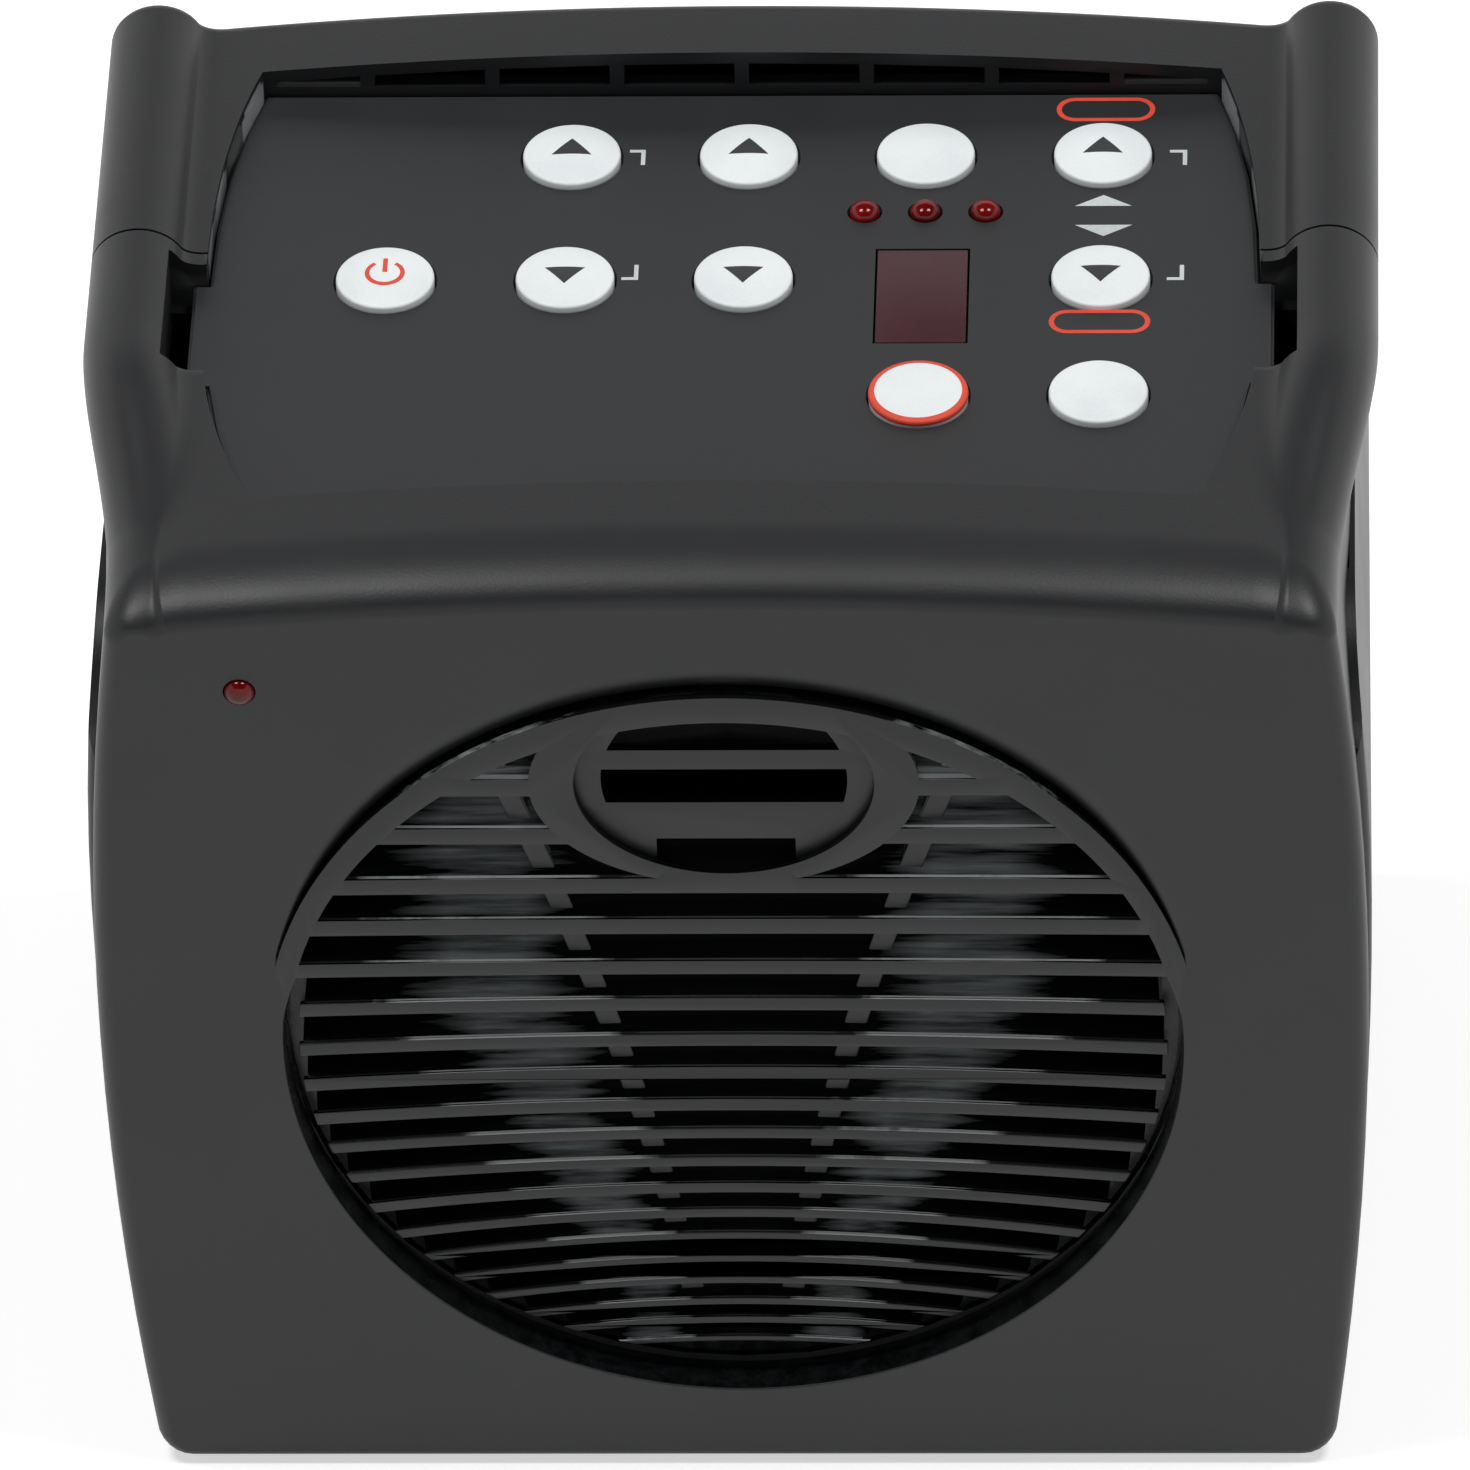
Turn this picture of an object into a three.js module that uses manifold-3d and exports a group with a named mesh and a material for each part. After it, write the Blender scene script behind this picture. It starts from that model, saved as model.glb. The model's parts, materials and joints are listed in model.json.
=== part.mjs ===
// Electronic tanpura: a small table-top drone instrument, in millimetres.
// +X is the player's right, +Y is the rear, +Z is up. The origin is under the middle, where it stands.
import * as THREE from 'three';
import { mergeVertices } from 'three/addons/utils/BufferGeometryUtils.js';
import Module from 'manifold-3d';

// Housing: the outer form that the two shells share
const bodyHalf = 62.6;          // half the width over the side rails
const bodyDepth = 90.5;         // face to rear wall
const crestHeight = 112;        // foot of the housing to the middle of the crowned top
const crownRadius = 500;        // the top falls away gently to both sides
const faceDraw = 1.1;           // at its widest the front face is this much narrower at each side
const wideHeight = 58;          // height at which the face is widest
const faceTopInset = 3.9;       // each side of the face draws in by this at the top
const faceFootInset = 3.6;      // and by this at the foot
const sideDraw = 0.75;          // the sides under the rails are this much narrower, just behind the seam
const sideDraft = 0.35;         // and draw in by this more to the rear wall
const sideWideHeight = 67;      // height at which they are widest
const sideTopInset = 3.2;       // they draw in by this towards the top
const sideFootInset = 4.1;      // by this at the foot beside the seam
const rearFootInset = 1.3;      // and by this at the foot of the rear wall
const footCorner = 3.5;
const wall = 2.2;
const rearFillet = 1.6;
const browFillet = 3.8;         // the brow drops by this into the face
const browReach = 9;            // and rolls over this far along the top
const sideFillet = 1.8;
const footFillet = 1;
const seamFillet = 1.2;         // rounding of the rear shell's edge along the seam
const footStand = 0.8;          // the rubber feet lift the housing by this

// Side rails: the two long rounded ridges at the edges of the top
const railRadius = 4.8;
const railRise = 3.7;           // how far the rail's crest stands above the crown at the side
const railBlend = 3.1;          // width of the hollow between the rail and the crown
const railFadeStart = 8.3;      // in front of the middle the rails begin to sink into the brow
const railFadeLength = 30;
const waistStart = 4;           // and a little before that they begin to draw in to the face's width
const waistLength = 34;
const railUnderShare = 0.7;     // share of a quarter turn that the rail's round runs on underneath

// Seam between the shells
const shellGap = 0.3;
const lidDepth = 3.8;           // the front shell is a lid of this depth round the face
const seamTopBehind = 8.2;      // on the top the seam lies this far behind the middle
const seamSideDrop = 13;        // along the sides it runs level, this far under the crest
const seamSweep = 14;           // and sweeps down into the lid in an arc of this radius

// Panel opening in the top: its distances from the housing's sides, rear and face
const openingRearMargin = 8.55;
const openingRearInset = 15.4;
const openingMidInset = 11.4;
const openingFrontMargin = 14.95;
const openingFrontInset = 17.4;
const notchInset = 7.8;         // side notches beside the panel's ears
const notchRearMargin = 38.65;
const notchLength = 16.6;
const openingNeckInset = 11.9;
const earGap = 2.3;
const panelDrop = 5;            // from the crest down to the printed face of the control panel
const overlayThickness = 0.4;
const plateThickness = 1.8;
const plateClearance = 0.3;
const skirtWall = 1.8;
const skirtDrop = 2;            // the skirt round the opening reaches this far under the ledge
const ledgeWidth = 1.5;

// Vents in the rear wall of the panel opening
const ventCount = 8;
const ventPitch = 12.3;
const ventRib = 1.4;
const ventHeight = 2.7;
const ventLift = 0.9;

// Keys, lamps and display
const keyRadius = 4.8;
const keyHoleClearance = 0.25;
const keyStand = 0.6;
const keyDome = 0.6;
const keyEdge = 0.3;
const keyFlange = 1;
const keyFlangeThickness = 1.1;
const keyTravel = 0.5;
const keyColumnFirst = -16.4;   // columns, rows and lamps are placed from the middle of the panel
const keyColumnPitch = 17.35;
const powerColumn = -33.9;
const keyRowRear = 26.2;
const keyRowPitchRear = 19.4;
const keyRowPitchFront = 18;
const ledRadius = 1.5;
const ledClearance = 0.2;
const ledStand = 1.1;           // how far a lamp's dome stands over the panel
const ledFlange = 0.5;
const ledFirst = 12.5;
const ledPitch = 5.9;
const ledRow = 17.5;
const windowLeft = 13.9;
const windowWidth = 8.8;
const windowRear = 11.5;
const windowLength = 14.4;
const windowThickness = 1.2;
const windowClearance = 0.2;

// Board under the control panel
const boardThickness = 1.2;
const boardHalf = 44;
const boardRear = 33;
const boardFront = -20;
const switchHeight = 0.7;
const switchRadius = 2.6;
const boardPostRadius = 2;
const boardPostInset = 2.5;
const boardPostFront = 2.5;     // from the board's front edge to the first pair of posts
const boardPostPitch = 34;

// Loudspeaker opening and grille
const grilleHeightShare = 0.4777; // of the crest's height:
const grilleRadius = 43.7;
const lipRadius = 2;
const collarDepth = 6;
const collarWall = 1.6;
const grilleRecess = 2.4;
const grilleClearance = 0.3;
const grilleBand = 2.7;
const grilleFlange = 2.8;
const grilleFlangeThickness = 1.5;
const bladeCount = 21;
const bladeTop = 32.5;          // highest full blade above the middle of the circle
const bladeGap = 6.3;           // spacing under that blade, and each one below is closer
const bladeCloserShare = 0.942;
const bladeThicknessShare = 0.37;
const bladeStraight = 4;        // blades above this one are straight
const bladeArchRadius = 71;     // the lowest blade's arch
const ribWidth = 2.4;
const ribSetback = 1;
const ribSpread = 21;           // half the distance between the two ribs at the height ribTop
const ribTop = 31;
const ribMeet = 53;             // the ribs aim at a point this far under the middle
const badgeHeight = 32;
const badgeHalfWidth = 19.5;
const badgeHalfHeight = 14.4;
const badgeSeatHalfWidth = 15;
const badgeSeatHalfHeight = 12.3;
const badgeSeatDepth = 1.1;
const badgeSeatThickness = 1.2;
const badgeSlotRise = 4.1;
const badgeSlotHalf = 12.1;
const badgeSlotLowHalf = 6.5;
const badgeSlotUp = 4.7;        // the upper slot over the badge seat's middle
const badgeSlotPitch = 6.4;     // from the upper slot down to the next
const badgeSlotStep = 8.6;      // and from that down to the short one

// Loudspeaker
const speakerHalf = 44.5;
const speakerCorner = 8;
const speakerPlate = 1.2;
const speakerHole = 36.5;       // half the spacing of the fixing holes
const speakerPostRadius = 3;
const speakerPilotDepth = 6;
const speakerScrewRadius = 1.4;
const speakerScrewHead = 2.9;
const speakerScrewHeadHeight = 1.6;
const gasketThickness = 1.2;
const gasketBand = 4;
const surroundOuter = 41;
const surroundInner = 36.5;
const surroundRoll = 4;
const surroundRise = 1.1;
const basketRadius = 38.5;
const basketNeck = 20;
const basketLength = 20;
const basketWindows = 4;
const basketWall = 1.2;
const coneThickness = 0.8;
const coneDepth = 14;
const coneNeck = 11;
const coilWall = 0.6;
const coilLength = 7;
const coilClearance = 0.4;
const capRadius = 11.5;
const capRise = 4.2;
const magnetRadius = 22.5;
const magnetLength = 11;
const polePlate = 2.5;
const poleRadius = 19.5;

// Front lamp
const frontLedInset = 16.7;     // from the housing's side
const frontLedDrop = 13.8;      // from the crest
const ledSocketDepth = 1.6;
const frontLedStand = 0.9;

// Battery bay, its door and the cells
const cellRadius = 7.1;
const cellLength = 50.3;
const cellNub = 1.2;
const cellNubRadius = 2.7;
const cellRows = 3;
const cellPitch = 15;
const cellMiddle = 38;
const baySpare = 0.5;
const bayWall = 1.6;
const springHeight = 2;
const springRadius = 3.2;
const springTipRadius = 1.3;
const contactThickness = 0.4;
const contactHalf = 5;
const doorThickness = 2;
const doorLedge = 1.5;
const doorClearance = 0.3;
const doorCorner = 2;
const latchHalf = 8;
const latchLength = 9;
const latchSlit = 0.9;
const gripCount = 4;
const gripPitch = 1.6;
const gripDepth = 0.5;

// Sockets and main board
const mainBoardInset = 16.6;    // between the housing's side and the board's end
const mainBoardDepth = 26;
const mainBoardRise = 2.6;
const chipHeight = 2.2;
const chipHalf = 7;
const mainPostRadius = 2.2;
const mainPostInset = 4;
const socketHeight = 5.4;       // axis of the sockets above the main board
const socketRecess = 0.4;
const powerSocketInset = 10;    // from the board's end to the socket's axis
const powerSocketRadius = 4.8;
const powerBore = 2.9;
const powerPin = 1;
const socketLength = 11;
const socketBoreDepth = 9;
const socketPitch = 16;
const audioSocketRadius = 3.9;
const audioBore = 1.8;
const socketClearance = 0.3;

// Housing screws, and the feet
const bossRadius = 4.2;
const bossWell = 2.9;
const bossFloor = 2.5;
const bossSplitDepth = 33.25;   // the bosses of the two shells meet this far behind the face
const screwRadius = 1.3;
const screwPilotDepth = 12;
const screwHead = 2.5;
const screwHeadHeight = 2;
const bossHighInset = 10.6;     // upper screw bosses: from the side and from the crest
const bossHighDrop = 19;
const bossLowInset = 11.6;      // lower screw bosses: from the side and from the foot
const bossLowRise = 7.6;
const screwClearance = 0.3;
const footRadius = 5;
const footSeat = 1.1;
const footInset = 16.6;         // from the housing's sides
const footMargin = 14.25;       // from its face and rear wall

// Fits and facets
const seatGap = 0.3;            // between pieces that rest on each other
const overrun = 1;              // how far a cutting form runs past what it cuts
const roundSides = 12;
const smallSides = 10;
const ringSides = 44;
const grilleSides = 34;
const coneSides = 16;
const postSides = 8;

const faceY = -bodyDepth / 2;
const rearY = bodyDepth / 2;
const faceHalf = bodyHalf - faceDraw;
const sideHalf = bodyHalf - sideDraw;
const lidY = faceY + lidDepth;
const grilleHeight = crestHeight * grilleHeightShare;
const seamSideHeight = crestHeight - seamSideDrop;
const openingRear = rearY - openingRearMargin;
const openingFront = faceY + openingFrontMargin;
const openingRearHalf = bodyHalf - openingRearInset;
const openingMidHalf = bodyHalf - openingMidInset;
const openingNeckHalf = bodyHalf - openingNeckInset;
const openingFrontHalf = bodyHalf - openingFrontInset;
const notchHalf = bodyHalf - notchInset;
const notchRear = rearY - notchRearMargin;
const notchFront = notchRear - notchLength;
const earHalf = notchHalf - earGap;
const panelTop = crestHeight - panelDrop;
const frontLedX = frontLedInset - bodyHalf;
const frontLedHeight = crestHeight - frontLedDrop;
const bossSplit = faceY + bossSplitDepth;
const mainBoardHalf = bodyHalf - mainBoardInset;
const powerSocketX = powerSocketInset - mainBoardHalf;
const audioSocketX = powerSocketX + socketPitch;
const footX = bodyHalf - footInset;
const footY = rearY - footMargin;
const plateBottom = panelTop - overlayThickness - plateThickness;
const ledgeTop = plateBottom - seatGap;
const skirtBottom = ledgeTop - skirtDrop;

const wasm = await Module();
wasm.setup();

// Points closer together than this are one point
const weldDistance = 0.000137;

// A closed geometry becomes a solid; faces are turned outwards whichever way its profile was drawn
function solidOf(geometry) {
  const bare = new THREE.BufferGeometry();
  bare.setAttribute('position', geometry.getAttribute('position').clone());
  if (geometry.index) bare.setIndex(geometry.index.clone());
  const merged = mergeVertices(bare, weldDistance);
  const points = Float32Array.from(merged.getAttribute('position').array);
  const corners = [];
  const source = merged.index.array;
  let volume = 0;
  for (let i = 0; i < source.length; i += 3) {
    const [a, b, c] = [source[i], source[i + 1], source[i + 2]];
    if (a === b || b === c || c === a) continue;
    corners.push(a, b, c);
    const [pa, pb, pc] = [a, b, c].map((k) => new THREE.Vector3().fromArray(points, 3 * k));
    volume += pa.dot(pb.cross(pc));
  }
  if (volume < 0) corners.reverse();
  return new wasm.Manifold(new wasm.Mesh({
    numProp: 3, vertProperties: points, triVerts: Uint32Array.from(corners),
  }));
}

// Shapes are drawn flat and extruded along one axis: X draws in YZ, Y draws in XZ, Z draws in XY
const axisBasis = {
  x: new THREE.Matrix4().makeBasis(
    new THREE.Vector3(0, 1, 0), new THREE.Vector3(0, 0, 1), new THREE.Vector3(1, 0, 0)),
  y: new THREE.Matrix4().makeBasis(
    new THREE.Vector3(1, 0, 0), new THREE.Vector3(0, 0, 1), new THREE.Vector3(0, -1, 0)),
  z: new THREE.Matrix4(),
};

function extrude(axis, outline, from, to, holes = []) {
  const shape = new THREE.Shape(outline.map(([u, v]) => new THREE.Vector2(u, v)));
  for (const hole of holes) {
    shape.holes.push(new THREE.Path(hole.map(([u, v]) => new THREE.Vector2(u, v))));
  }
  const geometry = new THREE.ExtrudeGeometry(shape, { depth: to - from, bevelEnabled: false });
  geometry.translate(0, 0, axis === 'y' ? -to : from);
  geometry.applyMatrix4(axisBasis[axis]);
  return solidOf(geometry);
}

// A profile of [radius, height] points turned about an axis along Y or Z
function revolve(axis, profile, sides, [u, v] = [0, 0]) {
  const points = profile.map(([r, h]) => new THREE.Vector2(r, h));
  const geometry = new THREE.LatheGeometry(points, sides);
  if (axis === 'z') {
    geometry.rotateX(Math.PI / 2);
    geometry.translate(u, v, 0);
  } else {
    geometry.translate(u, 0, v);
  }
  return solidOf(geometry);
}

function ellipse(cx, cy, rx, ry, sides) {
  return Array.from({ length: sides }, (_, i) => {
    const turn = (2 * Math.PI * i) / sides;
    return [cx + rx * Math.cos(turn), cy + ry * Math.sin(turn)];
  });
}

const circle = (cx, cy, radius, sides = smallSides) => ellipse(cx, cy, radius, radius, sides);
const rectangle = (x0, y0, x1, y1) => [[x0, y0], [x1, y0], [x1, y1], [x0, y1]];

function roundedRectangle(x0, y0, x1, y1, radius, steps = 4) {
  const corners = [
    [x1 - radius, y1 - radius, 0], [x0 + radius, y1 - radius, 1],
    [x0 + radius, y0 + radius, 2], [x1 - radius, y0 + radius, 3],
  ];
  return corners.flatMap(([cx, cy, quarter]) => Array.from({ length: steps + 1 }, (_, i) => {
    const turn = (quarter + i / steps) * (Math.PI / 2);
    return [cx + radius * Math.cos(turn), cy + radius * Math.sin(turn)];
  }));
}

// Outward normals at the corners of a closed outline, long enough to keep the walls parallel
function cornerNormals(outline) {
  let area = 0;
  outline.forEach(([x, y], i) => {
    const [nx, ny] = outline[(i + 1) % outline.length];
    area += x * ny - nx * y;
  });
  const side = Math.sign(area);
  const edges = outline.map(([x, y], i) => {
    const [nx, ny] = outline[(i + 1) % outline.length];
    const length = Math.hypot(nx - x, ny - y);
    return [(side * (ny - y)) / length, (-side * (nx - x)) / length];
  });
  return outline.map((_, i) => {
    const [ax, ay] = edges[(i + edges.length - 1) % edges.length];
    const [bx, by] = edges[i];
    const spread = 1 + ax * bx + ay * by;
    return [(ax + bx) / spread, (ay + by) / spread];
  });
}

function offset(outline, distance) {
  const normals = cornerNormals(outline);
  return outline.map(([x, y], i) => [x + normals[i][0] * distance, y + normals[i][1] * distance]);
}

const mirrored = (half) => [...half, ...half.map(([x, y]) => [-x, y]).reverse()];
const mix = (a, b, t) => a + (b - a) * t;

function curvePoints(start, control, end, steps) {
  const curve = new THREE.QuadraticBezierCurve(
    new THREE.Vector2(...start), new THREE.Vector2(...control), new THREE.Vector2(...end));
  return curve.getPoints(steps).map((p) => [p.x, p.y]);
}

// The crowned top's height at a distance from the middle
const crownAt = (x) => crestHeight - (x * x) / (2 * crownRadius);

const squared = (value) => Math.max(0, value) ** 2;

// Half width of the front face at a height
function faceAt(z) {
  return faceHalf - faceTopInset * squared((z - wideHeight) / (crestHeight - wideHeight))
    - faceFootInset * squared((wideHeight - z) / wideHeight);
}

// Half width of the sides at a height; depth runs from 0 at the seam to 1 at the rear wall
function sideAt(z, depth) {
  return sideHalf - sideDraft * depth
    - sideTopInset * squared((z - sideWideHeight) / (crestHeight - sideWideHeight))
    - mix(sideFootInset, rearFootInset, depth) * squared((sideWideHeight - z) / sideWideHeight);
}

// The housing's cross-section at a place along Y, as an outline in XZ. The front shell's runs out
// into the face; the rear shell's keeps its rails.
function sectionAt(y, isRear) {
  const rail = isRear ? 1 : 1 - THREE.MathUtils.smoothstep(-y, railFadeStart, railFadeStart + railFadeLength);
  const waist = isRear ? 0 : THREE.MathUtils.smoothstep(-y, waistStart, waistStart + waistLength);
  const depth = THREE.MathUtils.clamp((y - lidY) / (rearY - lidY), 0, 1);
  const widthAt = (z) => mix(faceAt(z), sideAt(z, depth), rail);
  const railHeight = crownAt(bodyHalf - railRadius) - railRadius + railRise * rail;
  const railX = mix(bodyHalf, faceAt(railHeight), waist) - railRadius;
  const footX0 = widthAt(footCorner) - footCorner;
  const under = -railUnderShare * rail * (Math.PI / 2);
  const sideTop = railHeight + railRadius * Math.sin(under);
  const half = [];
  const footSteps = 2;
  for (let i = 0; i <= footSteps; i += 1) {
    const turn = (i / footSteps - 1) * (Math.PI / 2);
    half.push([footX0 + footCorner * Math.cos(turn), footCorner + footCorner * Math.sin(turn)]);
  }
  const sideSteps = 6;
  for (let i = 1; i < sideSteps; i += 1) {
    const z = mix(footCorner, sideTop, i / sideSteps);
    half.push([widthAt(z), z]);
  }
  const arcSteps = 7;
  const arcEnd = mix(Math.PI / 2, Math.PI * (5 / 6), rail);
  for (let i = 0; i <= arcSteps; i += 1) {
    const turn = mix(under, arcEnd, i / arcSteps);
    half.push([railX + railRadius * Math.cos(turn), railHeight + railRadius * Math.sin(turn)]);
  }
  const [endX, endZ] = half[half.length - 1];
  const crownX = endX - railBlend;
  const hollow = curvePoints([endX, endZ], [mix(endX, crownX, 0.3), crownAt(endX)],
    [crownX, crownAt(crownX)], 2);
  half.push(...hollow.slice(1));
  const crownSteps = 4;
  for (let i = 1; i < crownSteps; i += 1) {
    const x = crownX * (1 - i / crownSteps);
    half.push([x, crownAt(x)]);
  }
  return [...half, [0, crestHeight], ...half.map(([x, z]) => [-x, z]).reverse()];
}

// Rings of equal point counts, each a list of [x, y, z], joined into a closed form with flat ends
function loft(rings) {
  const count = rings[0].length;
  const corners = [];
  for (let r = 0; r + 1 < rings.length; r += 1) {
    for (let i = 0; i < count; i += 1) {
      const j = (i + 1) % count;
      const [a, b, c, d] = [r * count + i, r * count + j, (r + 1) * count + j, (r + 1) * count + i];
      corners.push(a, b, c, a, c, d);
    }
  }
  const cap = (ring) => THREE.ShapeUtils.triangulateShape(
    ring.map(([x, , z]) => new THREE.Vector2(x, z)), []);
  const last = (rings.length - 1) * count;
  for (const [a, b, c] of cap(rings[0])) corners.push(c, b, a);
  for (const [a, b, c] of cap(rings[rings.length - 1])) corners.push(last + a, last + b, last + c);
  const geometry = new THREE.BufferGeometry();
  geometry.setAttribute('position', new THREE.Float32BufferAttribute(rings.flat(2), 3));
  geometry.setIndex(corners);
  return solidOf(geometry);
}

// One rounded end of the housing: the section shrinks inwards by a radius, over a reach along Y
function roundedEnd(endY, inward, radiusAt, reachAt, steps, isRear) {
  const outline = sectionAt(endY, isRear);
  const normals = cornerNormals(outline);
  return Array.from({ length: steps + 1 }, (_, k) => {
    const turn = (k / steps) * (Math.PI / 2);
    return outline.map(([x, z], i) => {
      const [nx, nz] = normals[i];
      const shrink = radiusAt(nz) * (1 - Math.cos(turn));
      return [x - nx * shrink, endY + inward * reachAt(nz) * (1 - Math.sin(turn)), z - nz * shrink];
    });
  });
}

// The front shell's outer form: rounded face, then the stretch where the rails fade in
const fadeShares = [0.14, 0.3, 0.45, 0.6, 0.8, 1];
const fadePlaces = fadeShares.map((share) => -waistStart - waistLength * (1 - share));
const ringOf = (isRear, inset) => (y) => offset(sectionAt(y, isRear), -inset).map(([x, z]) => [x, y, z]);
const faceRadius = (nz) => mix(sideFillet, nz > 0 ? browFillet : footFillet, nz * nz);
const faceReach = (nz) => mix(sideFillet, nz > 0 ? browReach : footFillet, nz * nz);
const frontForm = loft([
  ...roundedEnd(faceY, 1, faceRadius, faceReach, 4, false).reverse(),
  ...[...fadePlaces, seamTopBehind + wall].map(ringOf(false, 0)),
]);
const frontCavity = loft([faceY + wall, ...fadePlaces.filter((_, i) => i % 2 === 1),
  seamTopBehind + wall * 2].map(ringOf(false, wall)));

// The rear shell's: a straight run from its rounded edge along the seam to the rear wall
const [seamEdge, rearEdge] = [seamFillet, rearFillet].map((radius) => () => radius);
const rearForm = loft([
  ...roundedEnd(lidY + shellGap, 1, seamEdge, seamEdge, 2, true).reverse(),
  ...roundedEnd(rearY, -1, rearEdge, rearEdge, 2, true),
]);
const rearCavity = loft([lidY, rearY - wall].map(ringOf(true, wall)));

// Outline of the panel opening in XY, and of the plate that lies in it
function openingOutline(notch) {
  return mirrored([
    ...curvePoints([openingFrontHalf, openingFront],
      [mix(openingFrontHalf, openingNeckHalf, 0.8), mix(openingFront, notchFront, 0.5)],
      [openingNeckHalf, notchFront], 3),
    [notch, notchFront],
    [notch, notchRear],
    ...curvePoints([openingMidHalf, notchRear],
      [openingMidHalf, mix(notchRear, openingRear, 0.6)], [openingRearHalf, openingRear], 4),
  ]);
}

const opening = openingOutline(notchHalf);
const plateOutline = offset(openingOutline(earHalf + plateClearance), -plateClearance);
const aboveAll = crestHeight + railRise + overrun;
const ledgeOpening = openingOutline(notchHalf + ledgeWidth);
const skirtBlank = extrude('z', offset(opening, skirtWall), skirtBottom, aboveAll);
const skirtCut = extrude('z', opening, ledgeTop, aboveAll)
  .add(extrude('z', offset(ledgeOpening, -ledgeWidth), skirtBottom - overrun, aboveAll));

// Front part of the housing, seen from the side: the lid and the top as far back as the seam
function seamRegion(shift) {
  const sweep = seamSweep - shift;
  const [cy, cz] = [lidY + seamSweep, seamSideHeight - seamSweep];
  const arcSteps = 6;
  const arc = Array.from({ length: arcSteps + 1 }, (_, i) => {
    const turn = Math.PI - (i / arcSteps) * (Math.PI / 2);
    return [cy + sweep * Math.cos(turn), cz + sweep * Math.sin(turn)];
  });
  const outline = [
    [faceY - overrun, -overrun], [lidY + shift, -overrun], ...arc,
    [seamTopBehind + shift, seamSideHeight - shift], [seamTopBehind + shift, aboveAll],
    [faceY - overrun, aboveAll],
  ];
  return extrude('x', outline, -bodyHalf - overrun, bodyHalf + overrun);
}
const frontRegion = seamRegion(0);
const rearRegion = seamRegion(shellGap);
function shellOf(form, cavity) {
  return form.subtract(cavity).add(skirtBlank.intersect(form)).subtract(skirtCut);
}

// The front shell: opening for the grille with a rounded lip, its collar, posts and the lamp's hole
const collarOuter = grilleRadius + collarWall;
const collarRear = faceY + collarDepth;
const lipSteps = 4;
const lipProfile = Array.from({ length: lipSteps + 1 }, (_, i) => {
  const turn = (i / lipSteps) * (Math.PI / 2);
  return [grilleRadius + lipRadius * (1 - Math.sin(turn)), faceY + lipRadius * (1 - Math.cos(turn))];
});
const grilleCut = revolve('y', [
  [0, faceY - overrun], [grilleRadius + lipRadius, faceY - overrun], ...lipProfile,
  [grilleRadius, collarRear + overrun], [0, collarRear + overrun],
], ringSides, [0, grilleHeight]);
const bladeBack = collarRear + grilleClearance + grilleFlangeThickness;
const gasketFront = bladeBack + seatGap;
const speakerFront = gasketFront + gasketThickness + seatGap;
const speakerScrewSpots = [[-1, -1], [1, -1], [1, 1], [-1, 1]]
  .map(([sx, sz]) => [sx * speakerHole, grilleHeight + sz * speakerHole]);

const innerFace = faceY + wall - seatGap;
function post(x, z, radius, from, to, sides = postSides) {
  return extrude('y', circle(x, z, radius, sides), from, to);
}

const housingScrewSpots = [
  [bossHighInset - bodyHalf, crestHeight - bossHighDrop],
  [bodyHalf - bossHighInset, crestHeight - bossHighDrop],
  [bossLowInset - bodyHalf, bossLowRise],
  [bodyHalf - bossLowInset, bossLowRise],
];

function frontHousing() {
  let shell = shellOf(frontForm, frontCavity).intersect(frontRegion);
  shell = shell.add(extrude('y', circle(0, grilleHeight, collarOuter, ringSides), innerFace, collarRear));
  for (const [x, z] of housingScrewSpots) {
    shell = shell.add(post(x, z, bossRadius, innerFace, bossSplit - seatGap));
  }
  for (const [x, z] of speakerScrewSpots) {
    shell = shell.add(post(x, z, speakerPostRadius, innerFace, speakerFront - seatGap));
  }
  shell = shell.add(post(frontLedX, frontLedHeight, ledRadius + ledClearance + collarWall,
    innerFace, faceY + wall + ledSocketDepth, roundSides));
  for (const [x, z] of housingScrewSpots) {
    shell = shell.subtract(post(x, z, screwRadius + screwClearance,
      bossSplit - screwPilotDepth, bossSplit + overrun));
  }
  for (const [x, z] of speakerScrewSpots) {
    shell = shell.subtract(post(x, z, speakerScrewRadius + screwClearance,
      speakerFront - speakerPilotDepth, speakerFront + overrun));
  }
  shell = shell.subtract(post(frontLedX, frontLedHeight, ledRadius + ledClearance,
    faceY - overrun, faceY + wall + ledSocketDepth + overrun, roundSides));
  return shell.subtract(grilleCut);
}

// Battery bay: two columns of cells end to end, in rows, behind a door in the rear wall
const cellStart = baySpare / 2;
const contactInner = cellStart + cellLength + springHeight;
const bayHalf = contactInner + contactThickness + seatGap;
const cellY = rearY - doorThickness - seatGap - cellRadius - baySpare;
const bayFront = cellY - cellRadius - seatGap;
const bayLow = cellMiddle - (cellRows / 2) * cellPitch;
const bayHigh = cellMiddle + (cellRows / 2) * cellPitch;
const doorHalf = bayHalf + doorLedge;
const doorLow = bayLow - doorLedge;
const doorHigh = bayHigh + doorLedge;
const bayTop = doorHigh + bayWall;
const innerRear = rearY - wall + seatGap;
const cellHeights = Array.from({ length: cellRows }, (_, i) => (
  cellMiddle + (i - (cellRows - 1) / 2) * cellPitch));

// Main board on top of the bay, with the sockets on its rear edge
const mainBottom = bayTop + mainBoardRise;
const mainTop = mainBottom + boardThickness;
const mainRear = rearY - wall - seatGap;
const mainFront = mainRear - mainBoardDepth;
const socketZ = mainTop + socketHeight;
const socketRear = rearY - socketRecess;
const mainPostSpots = [-1, 1].flatMap((side) => [
  [side * (mainBoardHalf - mainPostInset), Math.max(bayFront, mainFront) + mainPostInset],
  [side * (mainBoardHalf - mainPostInset), mainRear - mainPostInset],
]);

const footSpots = [[-footX, -footY], [footX, -footY], [footX, footY], [-footX, footY]];

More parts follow.
